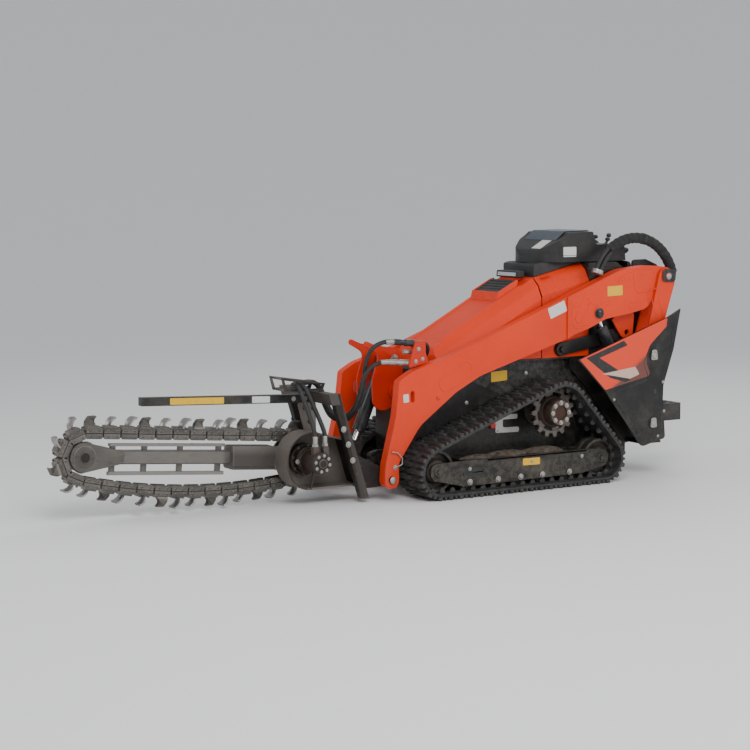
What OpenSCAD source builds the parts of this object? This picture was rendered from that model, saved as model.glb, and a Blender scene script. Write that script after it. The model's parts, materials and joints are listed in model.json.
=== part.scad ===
// Stand-on tracked skid steer carrying a chain trencher.
// +X is forward, +Y is left and +Z is up; Z = 0 is the ground under the tracks.
// Outlines are lists of [x, z, corner radius], drawn as seen from the left side.

/* [Machine] */
// Width over both tracks
overall_w = 914; // [880:1:1000]
// Width of one track belt
track_w = 250; // [200:1:260]
// Half width of the hood and of the cowl behind it
hood_half_w = 236; // [200:1:236]
// Thickness of the hood's sheet
hood_t = 4; // [3:1:8]
// Thickness of the steel plates
plate_t = 12; // [8:1:14]

/* [Tracks] */
// Outside radius of the track at the front idler
front_idler_r = 150; // [130:1:160]
// Outside radius of the track at the drive sprocket
sprocket_r = 180; // [150:1:190]
// Height of the shoes
lug_h = 18; // [12:1:24]
// Thickness of the belt under the shoes
belt_t = 16; // [12:1:20]
// Number of shoes on one belt
lug_count = 48; // [36:1:60]
// Radius of the bottom rollers
roller_r = 44; // [30:1:44]

/* [Loader arms] */
// Thickness of the arm's box section
arm_t = 55; // [40:1:55]
// Radius of the arm's main pins
arm_pin_r = 20; // [14:1:24]
// Radius of the pins at the cylinders and links
small_pin_r = 16; // [12:1:20]
// Radial running clearance of pins
pin_gap = 0.05; // [0.02:0.01:0.1]
// Radius of the tube across the arms
cross_tube_r = 42; // [30:1:44]

/* [Cylinders] */
// Outside radius of the lift cylinders
lift_barrel_r = 32; // [24:1:34]
// Radius of the lift cylinder rods
lift_rod_r = 17; // [12:1:20]
// Outside radius of the tilt cylinder
tilt_barrel_r = 36; // [28:1:40]
// Radius of the tilt cylinder rod
tilt_rod_r = 18; // [12:1:22]

/* [Engine] */
// Length of the engine block
engine_l = 460; // [380:1:560]
// Width of the engine block
engine_w = 360; // [280:1:374]
// Height of the engine block
engine_h = 500; // [400:1:560]

/* [Trencher] */
// Distance from the chain's drive shaft to its nose roller
boom_l = 1210; // [1000:1:1430]
// Radius of the nose roller
nose_r = 94; // [80:1:100]
// Height of the chain's side plates
chain_h = 57; // [46:1:60]
// Width over the chain's side plates
chain_w = 76; // [60:1:90]
// Number of toothed links on the chain
link_count = 33; // [26:1:34]
// Height of the teeth above the side plates
tooth_h = 58; // [44:1:66]

/* [Platform] */
// Height of the operator's deck
deck_z = 391; // [340:1:420]
// Width of the operator's deck
deck_w = 500; // [420:1:600]

/* [Hidden] */
$fn = 48;

// Planes across the machine, as distances from its middle
track_y = (overall_w - track_w) / 2;
track_in_y = track_y - track_w / 2;
tub_y = track_in_y - 5;              // outer face of the tub between the tracks
wall_y = hood_half_w + 2;            // outer face of the towers' inner walls
link_y = wall_y + 5;                 // inner face of the link plates
arm_rear_y = link_y + plate_t + 7;   // inner face of the arm's rear plates
arm_y = arm_rear_y + 8;              // inner face of the arm's box section
arm_out_y = arm_y + arm_t;
rear_plate_y = arm_out_y + 10;       // outer face of the arm's rear plates
outer_link_y = rear_plate_y + 5;     // inner face of the outer link plate
panel_y = 400;                       // outer face of the side panels
cyl_y = (arm_rear_y + rear_plate_y) / 2;

// Wheel centres, [x, z]
front_idler = [-134, front_idler_r];
rear_idler_r = front_idler_r - 10;
rear_idler = [-1225, rear_idler_r];
sprocket = [-930, 415];
roller_x = [-335, -520, -671, -818, -1004];
belt_h = lug_h + belt_t;

// Pin centres, [x, z], with the arms down
arm_tip = [111, 117];
link_foot = [-1603, 698];
link_head = [-1740, 1143];
control_foot = [-1060, 748];
control_head = [-1506, 826];
cyl_foot = [-1602, 309];
cyl_head = [-1256, 948];
cross_at = [-66, 562];
tilt_head = [-47, 738];
tilt_eye = [155, 268];
drive_shaft = [520, 235];
drive_r = 84;
nose = drive_shaft + boom_l * [cos(4.47), sin(4.47)];

// ---- outline helpers ----
function unit(v) = v / norm(v);
function turn(a) = a > 180 ? a - 360 : a < -180 ? a + 360 : a;

// Rounds the corner b between a and c with radius b.z
function corner(a, b, c) = let (
    u = unit([a.x - b.x, a.y - b.y]), v = unit([c.x - b.x, c.y - b.y]),
    half = acos(u * v) / 2,
    mid = [b.x, b.y] + unit(u + v) * b.z / sin(half),
    s = [b.x, b.y] + u * b.z / tan(half) - mid,
    e = [b.x, b.y] + v * b.z / tan(half) - mid,
    a0 = atan2(s.y, s.x), swing = turn(atan2(e.y, e.x) - a0),
    steps = max(2, ceil(abs(swing) / 12)))
    [for (i = [0:steps]) mid + b.z * [cos(a0 + swing * i / steps), sin(a0 + swing * i / steps)]];

function rounded(pts) = let (n = len(pts)) [for (i = [0:n - 1])
    each (pts[i].z > 0 ? corner(pts[(i + n - 1) % n], pts[i], pts[(i + 1) % n])
        : [[pts[i].x, pts[i].y]])];

// Upright plate or prism with the given side outline, between two planes across the machine
module slab(pts, y0, y1)
    translate([0, y1, 0]) rotate([90, 0, 0]) linear_extrude(y1 - y0) polygon(rounded(pts));

// Shaft across the machine at p = [x, z]
module shaft(p, r, y0, y1)
    translate([p.x, y1, p.y]) rotate([90, 0, 0]) cylinder(r = r, h = y1 - y0);

// Block between two opposite corners
module block(a, b)
    translate(a) cube(b - a);

// Bar of rounded ends between two pins, with a bore at each
module link_bar(a, b, half_w, ra, rb, y0, y1) difference() {
    union() {
        shaft(a, half_w, y0, y1);
        shaft(b, half_w, y0, y1);
        let (d = b - a, n = half_w * unit([-d.y, d.x]))
            slab([[a.x + n.x, a.y + n.y, 0], [a.x - n.x, a.y - n.y, 0],
                [b.x - n.x, b.y - n.y, 0], [b.x + n.x, b.y + n.y, 0]], y0, y1);
    }
    shaft(a, ra, y0 - 1, y1 + 1);
    shaft(b, rb, y0 - 1, y1 + 1);
}

// Cylinder from a towards b in the plane at y, starting and ending at given distances from a
module along(a, b, y, r, from, to)
    let (d = b - a)
        translate([a.x, y, a.y]) rotate([0, 90 - atan2(d.y, d.x), 0])
            translate([0, 0, from]) cylinder(r = r, h = to - from);

module on(side) mirror([0, side == "right" ? 1 : 0, 0]) children();

// ---- closed path of a belt around wheels, walked anticlockwise ----
// wheels is a list of [x, z, radius]
function away(a, b) = atan2(b.y - a.y, b.x - a.x) - acos((a.z - b.z) / norm([b.x - a.x, b.y - a.y]));
function wheel(w, i) = w[(i + len(w)) % len(w)];
function arc_from(w, i) = away(wheel(w, i - 1), wheel(w, i));
function arc_swing(w, i) = let (a = away(wheel(w, i), wheel(w, i + 1)) - arc_from(w, i)) a < 0 ? a + 360 : a;
function arc_len(w, i) = wheel(w, i).z * arc_swing(w, i) * PI / 180;
function run_len(w, i) = let (a = wheel(w, i), b = wheel(w, i + 1), d = norm([b.x - a.x, b.y - a.y]))
    sqrt(d * d - (a.z - b.z) * (a.z - b.z));
function belt_len(w) = [for (i = [0:len(w) - 1]) arc_len(w, i) + run_len(w, i)] * [for (x = w) 1];
// Point at distance s along the belt, moved out by off
function belt_at(w, s, off, i = 0) = let (al = arc_len(w, i), rl = run_len(w, i), a = wheel(w, i),
    turned = arc_from(w, i) + min(s / al, 1) * arc_swing(w, i), out = [cos(turned), sin(turned)])
    s > al + rl ? belt_at(w, s - al - rl, off, i + 1)
        : [a.x, a.y] + (a.z + off) * out + max(0, s - al) * [-out.y, out.x];

// ---- running gear ----
track_wheels = [[front_idler.x, front_idler.y, front_idler_r - lug_h], [sprocket.x, sprocket.y, sprocket_r - lug_h],
    [rear_idler.x, rear_idler.y, rear_idler_r - lug_h]];

module track(side) color([0.13, 0.13, 0.12]) on(side) {
    pitch = belt_len(track_wheels) / lug_count;
    outer = [for (i = [0:lug_count - 1]) each [for (k = [[0, 0], [0.28, 0], [0.34, lug_h], [0.66, lug_h],
        [0.72, 0]]) belt_at(track_wheels, (i + k[0]) * pitch, k[1])]];
    inner = [for (i = [0:3 * lug_count - 1]) belt_at(track_wheels, i * pitch / 3, -belt_t)];
    translate([0, track_y + track_w / 2, 0]) rotate([90, 0, 0]) linear_extrude(track_w) difference() {
        polygon(outer);
        polygon(inner);
    }
}

module idler(p, r) difference() {
    union() {
        for (s = [-1, 1]) shaft(p, r, track_y + s * 32 - 16, track_y + s * 32 + 16);
        shaft(p, r * 0.55, track_y - 50, track_y + 50);
    }
    for (s = [-1, 1]) shaft(p, r * 0.8, s > 0 ? track_y + 40 : track_y - 60, s > 0 ? track_y + 60 : track_y - 40);
}

module wheels(side) color([0.2, 0.19, 0.18]) on(side) {
    inner = belt_h + 0.5;
    idler(front_idler, front_idler_r - inner);
    idler(rear_idler, rear_idler_r - inner);
    for (x = roller_x) {
        for (s = [-1, 1]) shaft([x, belt_h + 0.5 + roller_r], roller_r, track_y + s * 32 - 16, track_y + s * 32 + 16);
        shaft([x, belt_h + 0.5 + roller_r], roller_r * 0.6, track_y - 50, track_y + 50);
    }
    difference() {
        shaft(sprocket, sprocket_r - inner, track_y - 20, track_y + 20);
        for (a = [0:24:359])
            shaft(sprocket + (sprocket_r - inner) * [cos(a), sin(a)], 12, track_y - 21, track_y + 21);
    }
    shaft(sprocket, 92, tub_y, track_y + 19);
    shaft(sprocket, 74, track_y - 19, track_y + 92);
}

module track_frame(side) color([0.16, 0.15, 0.14]) on(side) {
    out_y = track_y + 73;
    in_y = track_y - 58;
    side_outline = [[-84, 192, 42], [-84, 108, 42], [-300, 56, 20], [-1092, 64, 20], [-1275, 98, 40],
        [-1275, 182, 40], [-1140, 197, 20], [-268, 197, 20]];
    difference() {
        union() {
            slab(side_outline, out_y - plate_t, out_y);
            slab(side_outline, in_y - plate_t, in_y);
            block([-1000, in_y - plate_t, 185], [-300, out_y, 197]);
            for (x = [-420, -745, -1090]) block([x - 6, in_y - 1, 130], [x + 6, out_y - plate_t + 1, 197]);
            for (x = [-360, -1110]) block([x - 60, tub_y, 120], [x + 60, in_y - plate_t + 1, 180]);
        }
        for (x = [-420, -745, -1090]) block([x - 30, track_y - 52, 100], [x + 30, track_y + 52, 175]);
    }
    for (p = [front_idler, rear_idler]) for (s = [-1, 1])
        shaft(p, 22, s > 0 ? track_y + 50.3 : in_y - 1, s > 0 ? out_y - plate_t + 1 : track_y - 50.3);
    for (x = roller_x) for (s = [-1, 1])
        shaft([x, belt_h + 0.5 + roller_r], 14, s > 0 ? track_y + 50.3 : in_y - 1,
            s > 0 ? out_y - plate_t + 1 : track_y - 50.3);
}

// ---- chassis ----
tub_rear_x = -1560;
tub_outline = [[-112, 108, 30], [-112, 560, 60], [-250, 700, 40], [-600, 700, 0], [tub_rear_x, 700, 0],
    [tub_rear_x, 108, 30]];

tie_r = 14;
tie_front = [40, 200];
hood_hinge = [-243, 713];
hinge_pin_r = 5;
tower_inner_x = -1130;

module lower_frame() color([0.1, 0.1, 0.1]) {
    difference() {
        slab(tub_outline, -tub_y, tub_y);
        difference() {
            slab([for (p = tub_outline) [p.x < -800 ? p.x + plate_t : p.x - plate_t,
                p.y < 300 ? p.y + plate_t : p.y + 100, p.z * 0.6]], plate_t - tub_y, tub_y - plate_t);
            block([-262, -tub_y, 540], [-100, tub_y, 702]);
        }
        block([-240, plate_t - tub_y, 530], [-112 - plate_t, tub_y - plate_t, 660]);
    }
    difference() {
        slab([[tub_outline[0].x - 1, 130, 0], [tub_outline[0].x - 1, 230, 0], [10, 230, 10],
            [tie_front.x + 20, tie_front.y + 16, 18], [tie_front.x + 20, tie_front.y - 24, 18]], -20, 20);
        shaft(tie_front, tie_r, -21, 21);
    }
    for (s = [-1, 1]) {
        block([tower_inner_x + 0.5, s > 0 ? tub_y - plate_t : -hood_half_w, 692],
            [-262, s > 0 ? hood_half_w : plate_t - tub_y, 702]);
        block([hood_hinge.x - 6, s > 0 ? tub_y - plate_t : -tub_y, 660],
            [hood_hinge.x + 6, s > 0 ? tub_y : plate_t - tub_y, hood_hinge.y]);
        shaft(hood_hinge, hinge_pin_r + 1.5, s > 0 ? tub_y - plate_t : -tub_y, s > 0 ? tub_y : plate_t - tub_y);
        shaft(hood_hinge, hinge_pin_r - pin_gap, s > 0 ? 150 : -tub_y, s > 0 ? tub_y : -150);
        shaft(control_foot, 40, s > 0 ? tub_y - 1 : -wall_y, s > 0 ? wall_y : 1 - tub_y);
        shaft(control_foot, small_pin_r - pin_gap, s > 0 ? tub_y : -link_y - plate_t - 14,
            s > 0 ? link_y + plate_t + 14 : -tub_y);
        block([control_foot.x - 40, s > 0 ? tub_y - plate_t : -tub_y, 640],
            [control_foot.x + 40, s > 0 ? tub_y : plate_t - tub_y, control_foot.y]);
    }
}

module engine_block() color([0.35, 0.36, 0.36])
    block([-520 - engine_l, -engine_w / 2, 300], [-520, engine_w / 2, 300 + engine_h]);

// Side outline of the towers that carry the links, shared by their inner and outer walls
tower_front = [[-1505, 198, 30], [-1253, 516, 60]];

module side_panel(side) color([0.12, 0.12, 0.12]) on(side) {
    outer = concat(tower_front, [[-1065, 698, 0], [-1704, 911, 30], [-1798, 957, 0], [-1750, 731, 60],
        [-1677, 523, 60], [-1674, 444, 30], [-1694, 217, 20], [-1530, 180, 20]]);
    inner = concat(tower_front, [[tower_inner_x, 640, 0], [tower_inner_x, 702, 0], [-1262, 702, 0], [-1262, 1190, 0],
        [-1560, 1190, 60], [-1640, 1000, 60], [-1677, 523, 60], [-1694, 217, 20], [-1530, 180, 20]]);
    slab(outer, panel_y - plate_t, panel_y);
    slab(inner, wall_y - plate_t, wall_y);
    block([-1688, wall_y - 1, 225], [-1688 + plate_t, panel_y - plate_t + 1, 430]);
    block([-1670, wall_y - 1, 192], [-1530, panel_y - plate_t + 1, 204]);
    shaft(link_foot, arm_pin_r - pin_gap, wall_y - 1, panel_y + 8);
    shaft(cyl_foot, small_pin_r - pin_gap, wall_y - 1, panel_y + 8);
    for (p = [link_foot, cyl_foot]) shaft(p, 30, panel_y - 1, panel_y + 5);
}

module platform() color([0.1, 0.1, 0.1]) {
    rear_x = -1935;
    front_x = -1712;
    difference() {
        block([rear_x, -deck_w / 2, deck_z - 100], [front_x, deck_w / 2, deck_z]);
        block([rear_x + 8, 8 - deck_w / 2, deck_z - 101], [front_x - 8, deck_w / 2 - 8, deck_z - 8]);
        shaft([front_x - 40, deck_z - 50], tie_r, -deck_w / 2 - 1, deck_w / 2 + 1);
    }
    block([front_x - 1, -220, deck_z - 8], [tub_rear_x - 0.5, 220, deck_z]);
    for (s = [-1, 1]) block([front_x - 1, s * 150 - 6, deck_z - 100], [tub_rear_x - 0.5, s * 150 + 6, deck_z - 7]);
}

module rear_body() color([0.1, 0.1, 0.1])
    slab([[-1264.5, 702.5, 0], [-1264.5, 1228, 0], [-1470, 1228, 30], [-1556, 1170, 40], [-1556, 702.5, 0]],
        -222, 222);

// Sheet metal crown of the hood and cowl: a flat top with two shoulders, running down
// forwards from the ridge p = [x, z] at an angle, and shrunk by t
module crown(p, slope, t) let (w = hood_half_w - t)
    translate([p.x - 300, 0, p.y + 300 * tan(slope)]) rotate([0, slope, 0]) rotate([90, 0, 90])
        linear_extrude(1300) polygon([[-w, -1200], [-w, -96 - t], [-0.85 * w, -37 - t], [-0.64 * w, -t],
            [0.64 * w, -t], [0.85 * w, -37 - t], [w, -96 - t], [w, -1200]]);

hood_rear = [-930, 1148];
hood_nose = [-262, 788];
hood_slope = atan2(hood_rear.y - hood_nose.y, hood_nose.x - hood_rear.x);

module hood_form(t) intersection() {
    slab([[hood_rear.x - t, 704 - t, 0], [hood_rear.x - t, hood_rear.y + t * tan(hood_slope), 0],
        [hood_nose.x, hood_nose.y, 30], [-250 - t, 750, 20], [-250 - t, 704 - t, 0]],
        t - hood_half_w, hood_half_w - t);
    crown(hood_rear, hood_slope, t);
}

module hood() color([0.85, 0.2, 0.05]) {
    difference() {
        hood_form(0);
        hood_form(hood_t);
    }
    for (s = [-1, 1]) difference() {
        shaft(hood_hinge, hinge_pin_r + 3, s > 0 ? 150 : -tub_y + plate_t + 2, s > 0 ? tub_y - plate_t - 2 : -150);
        shaft(hood_hinge, hinge_pin_r, s > 0 ? 149 : -tub_y, s > 0 ? tub_y : -149);
    }
}

module hood_grille() color([0.05, 0.05, 0.05]) difference() {
    slab([[-836, 1098.5, 0], [-848, 1142, 0], [-716, 1071, 0], [-704, 1027.5, 0]], -118, 118);
    for (i = [0:4]) slab([[-842 + 24 * i, 1114 - 13 * i, 0], [-852 + 24 * i, 1160 - 13 * i, 0],
        [-842 + 24 * i, 1156 - 13 * i, 0], [-832 + 24 * i, 1108 - 13 * i, 0]], -104, 104);
}

module work_lamp() color([0.07, 0.07, 0.07]) {
    block([-908, -70, 1137.5], [-872, 70, 1150]);
    slab([[-910, 1149, 0], [-910, 1186, 8], [-862, 1186, 8], [-858, 1149, 0]], -104, 104);
}

cowl_rear = [-1262, 1226];
cowl_front = [-936, 1150];
cowl_slope = atan2(cowl_rear.y - cowl_front.y, cowl_front.x - cowl_rear.x);

module cowl_form(t) intersection() {
    slab([[cowl_rear.x - t, 702.5 - t, 0], [cowl_rear.x - t, cowl_rear.y + t * tan(cowl_slope), 0],
        [cowl_front.x + t, cowl_front.y - t * tan(cowl_slope), 0], [cowl_front.x + t, 702.5 - t, 0]],
        t - hood_half_w, hood_half_w - t);
    crown(cowl_rear, cowl_slope, t);
}

module rear_cowl() color([0.85, 0.2, 0.05]) difference() {
    cowl_form(0);
    cowl_form(hood_t);
    shaft(control_foot, 40.5, -hood_half_w - 1, hood_half_w + 1);
}

module console_rim() color([0.2, 0.2, 0.21])
    slab([[-1256, 1226.5, 0], [-940, 1152.5, 0], [-940, 1222, 12], [-975, 1232, 10], [-1256, 1232, 0]],
        -148, 148);

module console() color([0.09, 0.09, 0.1]) {
    intersection() {
        slab([[-948, 1232.5, 0], [-975, 1290, 80], [-1126, 1376, 30], [-1154, 1398, 12], [-1319, 1402, 12],
            [-1341, 1328, 20], [-1545, 1327, 16], [-1556, 1232.5, 0]], -200, 200);
        translate([0, 0, 1200]) linear_extrude(300) polygon(rounded([[-944, 0, 160], [-1010, 130, 90],
            [-1090, 196, 40], [-1600, 196, 0], [-1600, -196, 0], [-1090, -196, 40], [-1010, -130, 90]]));
    }
}

module operator_pad() color([0.11, 0.11, 0.12]) {
    slab([[-1556.5, 860, 0], [-1556.5, 1231, 20], [-1600, 1240, 20], [-1618, 1180, 30], [-1606, 860, 10]],
        -218, 218);
    for (s = [-1, 1]) slab([[-1590, 1080, 20], [-1590, 1236, 20], [-1690, 1238, 20], [-1785, 1200, 20],
        [-1780, 1130, 30], [-1700, 1080, 30]], s > 0 ? 196 : -222, s > 0 ? 222 : -196);
}

// ---- lift linkage ----
module rear_link(side) color([0.85, 0.2, 0.05]) on(side) {
    for (y = [link_y, outer_link_y]) difference() {
        union() {
            slab([[link_head.x + 52, link_head.y + 46, 40], [link_head.x - 56, link_head.y + 40, 50],
                [link_head.x - 52, link_head.y - 40, 60], [link_foot.x - 46, link_foot.y - 20, 40],
                [link_foot.x - 10, link_foot.y - 50, 40], [link_foot.x + 46, link_foot.y - 20, 40]], y, y + plate_t);
        }
        shaft(link_head, 16, y - 1, y + plate_t + 1);
        shaft(link_foot, arm_pin_r, y - 1, y + plate_t + 1);
    }
    difference() {
        shaft(link_foot, 36, link_y + 1, outer_link_y + plate_t - 1);
        shaft(link_foot, arm_pin_r, link_y - 1, outer_link_y + plate_t + 1);
    }
    shaft(link_head, arm_pin_r - pin_gap, link_y + 1, outer_link_y + plate_t + 10);
    shaft(link_head, 28, outer_link_y + plate_t - 1, outer_link_y + plate_t + 5);
}

module control_link(side) color([0.1, 0.1, 0.1]) on(side)
    link_bar(control_foot, control_head, 36, small_pin_r, small_pin_r, link_y, link_y + plate_t);

lift_len = norm(cyl_head - cyl_foot);

module lift_barrel(side) color([0.1, 0.1, 0.11]) on(side) difference() {
    union() {
        shaft(cyl_foot, 34, cyl_y - 26, cyl_y + 26);
        along(cyl_foot, cyl_head, cyl_y, lift_barrel_r, 20, lift_len - 90);
    }
    shaft(cyl_foot, small_pin_r, cyl_y - 40, cyl_y + 40);
    along(cyl_foot, cyl_head, cyl_y, lift_rod_r + pin_gap, 70, lift_len - 80);
}

module lift_rod(side) color([0.75, 0.76, 0.78]) on(side) difference() {
    union() {
        along(cyl_foot, cyl_head, cyl_y, lift_rod_r, 75, lift_len - 20);
        shaft(cyl_head, 30, cyl_y - 16, cyl_y + 16);
    }
    shaft(cyl_head, small_pin_r, cyl_y - 20, cyl_y + 20);
}

arm_top = [[-1588, 1206, 300], [-1413, 1188, 300], [-854, 976, 400], [-324, 776, 300], [-24, 688, 120]];

module arm(side) color([0.88, 0.22, 0.05]) on(side) difference() {
    union() {
        slab(concat([[arm_tip.x + 46, arm_tip.y - 46, 40], [arm_tip.x - 46, arm_tip.y - 46, 40],
            [66, 205, 60], [-70, 395, 200], [-300, 560, 200], [-460, 640, 250], [-1060, 818, 0], [-1060, 1054, 0]],
            [arm_top[2], arm_top[3], arm_top[4]], [[61, 640, 30], [83, 452, 60], [148, 199, 60]]), arm_y, arm_out_y);
        for (y = [arm_rear_y, rear_plate_y - plate_t])
            slab(concat([[-1040, 812, 0], [-1090, 838, 40], [-1180, 862, 60], [-1307, 914, 60], [-1470, 936, 60],
                [-1600, 962, 80], [-1700, 1085, 40], [link_head.x - 40, link_head.y - 44, 36],
                [link_head.x - 44, link_head.y + 44, 44], [link_head.x + 60, link_head.y + 60, 60]],
                [arm_top[0], arm_top[1]], [[-1040, 1046.5, 0]]), y, y + plate_t);
        slab([[-1050, 1050, 0], [-1413, 1187, 300], [-1588, 1205, 300], [-1640, 1202, 0], [-1640, 1188, 0],
            [-1588, 1191, 300], [-1413, 1173, 300], [-1050, 1036, 0]], arm_rear_y + 1, rear_plate_y - 1);
        slab([[-1400, 900, 0], [-1440, 940, 0], [-1560, 940, 20], [control_head.x - 42, control_head.y - 20, 30],
            [control_head.x, control_head.y - 44, 30], [control_head.x + 42, control_head.y - 20, 30]],
            arm_rear_y, arm_rear_y + plate_t);
        shaft(arm_tip, 40, arm_y - 3, arm_out_y + 3);
        shaft(cyl_head, 34, rear_plate_y - 2, rear_plate_y + 4);
    }
    shaft(arm_tip, arm_pin_r, arm_y - 4, arm_out_y + 4);
    shaft(link_head, arm_pin_r, arm_rear_y - 1, rear_plate_y + 1);
    shaft(control_head, small_pin_r, arm_rear_y - 1, arm_rear_y + plate_t + 1);
    shaft(cyl_head, small_pin_r, arm_rear_y - 1, rear_plate_y + 5);
    for (z = [534, 570]) shaft([-21, z], 13, arm_y - 1, arm_out_y + 1);
    block([-34, arm_y - 1, 534], [-8, arm_out_y + 1, 570]);
}

module arm_crossmember() color([0.8, 0.17, 0.05]) {
    bracket_y = 80;
    shaft(cross_at, cross_tube_r, -arm_y, arm_y);
    for (s = [-1, 1]) difference() {
        slab([[-10, 458, 60], [-104, 520, 60], [-112, 700, 30], [-86, 790, 20], [60, 812, 20], [128, 842, 12],
            [132, 812, 12], [40, 760, 40], [84, 620, 90], [78, 460, 60]],
            s * bracket_y - plate_t / 2, s * bracket_y + plate_t / 2);
        shaft(cross_at, cross_tube_r - 2, s * bracket_y - 20, s * bracket_y + 20);
    }
    shaft(tilt_head, small_pin_r - pin_gap, -bracket_y - 18, bracket_y + 18);
}

// Front ends of the two hydraulic couplers, which lean up by 6 degrees
coupler_end = [[57, 844], [89, 738]];
coupler_l = 170;

module coupler_block() color([0.8, 0.17, 0.05]) {
    slab([[-150, 724, 10], [-112, 836, 20], [-62, 836, 20], [-20, 700, 10]], arm_y + 5, arm_y + 15);
    for (p = coupler_end) along(p - coupler_l * [cos(6), sin(6)], p, arm_y - 14, 19, 0, coupler_l);
    block([-140, arm_y - 34, 730], [-64, arm_y + 5, 842]);
}

// ---- tilt cylinder ----
tilt_len = norm(tilt_eye - tilt_head);

module tilt_barrel() color([0.1, 0.1, 0.11]) difference() {
    union() {
        shaft(tilt_head, 38, -34, 34);
        along(tilt_head, tilt_eye, 0, tilt_barrel_r, 20, tilt_len - 84);
    }
    shaft(tilt_head, small_pin_r, -40, 40);
    along(tilt_head, tilt_eye, 0, tilt_rod_r + pin_gap, 60, tilt_len - 70);
}

module tilt_rod() color([0.75, 0.76, 0.78]) difference() {
    union() {
        along(tilt_head, tilt_eye, 0, tilt_rod_r, 108, tilt_len - 20);
        shaft(tilt_eye, 32, -18, 18);
    }
    shaft(tilt_eye, small_pin_r, -20, 20);
}

// ---- hoses ----
hose_r = 31;
hose_bend_r = 286;
hose_centre = [-1540, 1078];

module hose_loop(side) color([0.09, 0.09, 0.09]) on(side)
    translate([hose_centre.x, cyl_y, hose_centre.y]) rotate([90, 0, 0]) rotate([0, 0, 17])
        rotate_extrude(angle = 146, $fn = 96) translate([hose_bend_r, 0]) circle(r = hose_r);

// Smooth path through hand-set points, four steps to each
function between(a, b, c, d, u) = (2 * b + (c - a) * u + (2 * a - 5 * b + 4 * c - d) * u * u
    + (3 * b - a - 3 * c + d) * u * u * u) / 2;
function smooth(p) = let (n = len(p)) concat([for (i = [0:n - 2], k = [0:3])
    between(p[max(i - 1, 0)], p[i], p[i + 1], p[min(i + 2, n - 1)], k / 4)], [p[n - 1]]);
function heading(p, i) = unit(p[min(i + 1, len(p) - 1)] - p[max(i - 1, 0)]);
// Side direction n at point i, carried along the path so that the tube doesn't twist
function sides(p, n, i = 0) = i >= len(p) ? [] : let (t = heading(p, i), m = unit(n - (n * t) * t))
    concat([m], sides(p, m, i + 1));

// Round hose swept along a path, as one closed mesh of ten sides
module hose(route, r) {
    path = smooth(route);
    side = sides(path, [0, 1, 0.2]);
    last = len(path) - 1;
    n = 10;
    points = [for (i = [0:last]) let (up = cross(heading(path, i), side[i])) each
        [for (j = [0:n - 1]) path[i] + r * (cos(36 * j) * side[i] + sin(36 * j) * up)]];
    skin = [for (i = [0:last - 1], j = [0:n - 1]) let (a = i * n + j, b = i * n + (j + 1) % n) each
        [[a, a + n, b + n], [a, b + n, b]]];
    polyhedron(points, concat(skin, [[for (j = [0:n - 1]) j], [for (j = [n - 1:-1:0]) last * n + j]]));
}

// Routes of the two trencher hoses, from the couplers over the hose guide to the motor's ports
hose_routes = [
    [[57.5, 256, 844], [110, 254, 845], [175, 242, 815], [208, 226, 740], [205, 205, 650], [205, 190, 560],
        [225, 150, 480], [262, 105, 425], [318, 50, 440], [345, 15, 510], [370, 14, 590], [425, 24, 632],
        [500, 35, 632], [562, 70, 630], [578, 125, 630], [574, 165, 610], [556, 205, 520], [544, 245, 430],
        [538, 260, 380],
        [538, 260, 350], [538, 260, 319.5]],
    [[89.5, 256, 738], [135, 256, 738], [190, 250, 715], [228, 238, 660], [242, 222, 585], [250, 190, 510],
        [278, 145, 455], [322, 90, 455], [350, 55, 515], [374, 42, 588], [425, 52, 632], [485, 74, 634],
        [530, 98, 630], [545, 128, 630], [537, 165, 610], [512, 205, 520], [490, 245, 430], [480, 260, 380],
        [480, 260, 350], [480, 260, 319.5]]];

module trencher_hoses() color([0.07, 0.07, 0.07]) for (route = hose_routes) hose(route, 12);

// ---- trencher ----
post_lean = 17.3;
// Point on the posts' centre line at height z
function post_at(z) = 239 + (z - 19) * tan(post_lean);
post_y = 250;
post_w = 24;                         // half width of a post, seen from the side
plate_x = 18;                        // front face of the plate, behind the posts' centre line
beam_x = 44;                         // front face of the top beam, before the posts' centre line

module mount_plate() color([0.24, 0.17, 0.13]) {
    for (s = [-1, 1]) slab([[post_at(24) - post_w, 24, 0], [post_at(590) - post_w, 590, 0],
        [post_at(590) + post_w, 590, 0], [post_at(24) + post_w, 24, 0]], s * post_y - 20, s * post_y + 20);
    slab([[post_at(70) - 34, 70, 0], [post_at(330) - 34, 330, 0], [post_at(330) - plate_x, 330, 0],
        [post_at(70) - plate_x, 70, 0]], -post_y + 19, post_y - 19);
    slab([[post_at(530) - 8, 530, 0], [post_at(590) - 8, 590, 0], [post_at(590) + beam_x, 590, 0],
        [post_at(530) + beam_x, 530, 0]], -post_y - 22, post_y + 22);
    for (s = [-1, 1]) {
        difference() {
            slab([[arm_tip.x - 34, arm_tip.y - 40, 30], [arm_tip.x - 34, arm_tip.y + 34, 30],
                [post_at(240) - 20, 260, 0], [post_at(70) - 20, 72, 0]],
                s > 0 ? 226 : -250, s > 0 ? 250 : -226);
            shaft(arm_tip, 8, -260, 260);
        }
        shaft(arm_tip, arm_pin_r - pin_gap, s > 0 ? 227 : -arm_out_y - 14, s > 0 ? arm_out_y + 14 : -227);
        slab([[tilt_eye.x - 30, tilt_eye.y + 26, 24], [tilt_eye.x - 30, tilt_eye.y - 30, 24],
            [post_at(120) - 20, 150, 0], [post_at(320) - 20, 320, 0], [tilt_eye.x + 30, tilt_eye.y + 38, 24]],
            s > 0 ? 24 : -40, s > 0 ? 40 : -24);
    }
}

web_y = 72;                          // inner face of the head's web, clear of the chain's teeth
head_rise = 50 / (500 - post_at(338) + plate_x);
// The chain's links are straight, so its wheels are smaller than the curve they follow
chord_drop = 12;

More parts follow.
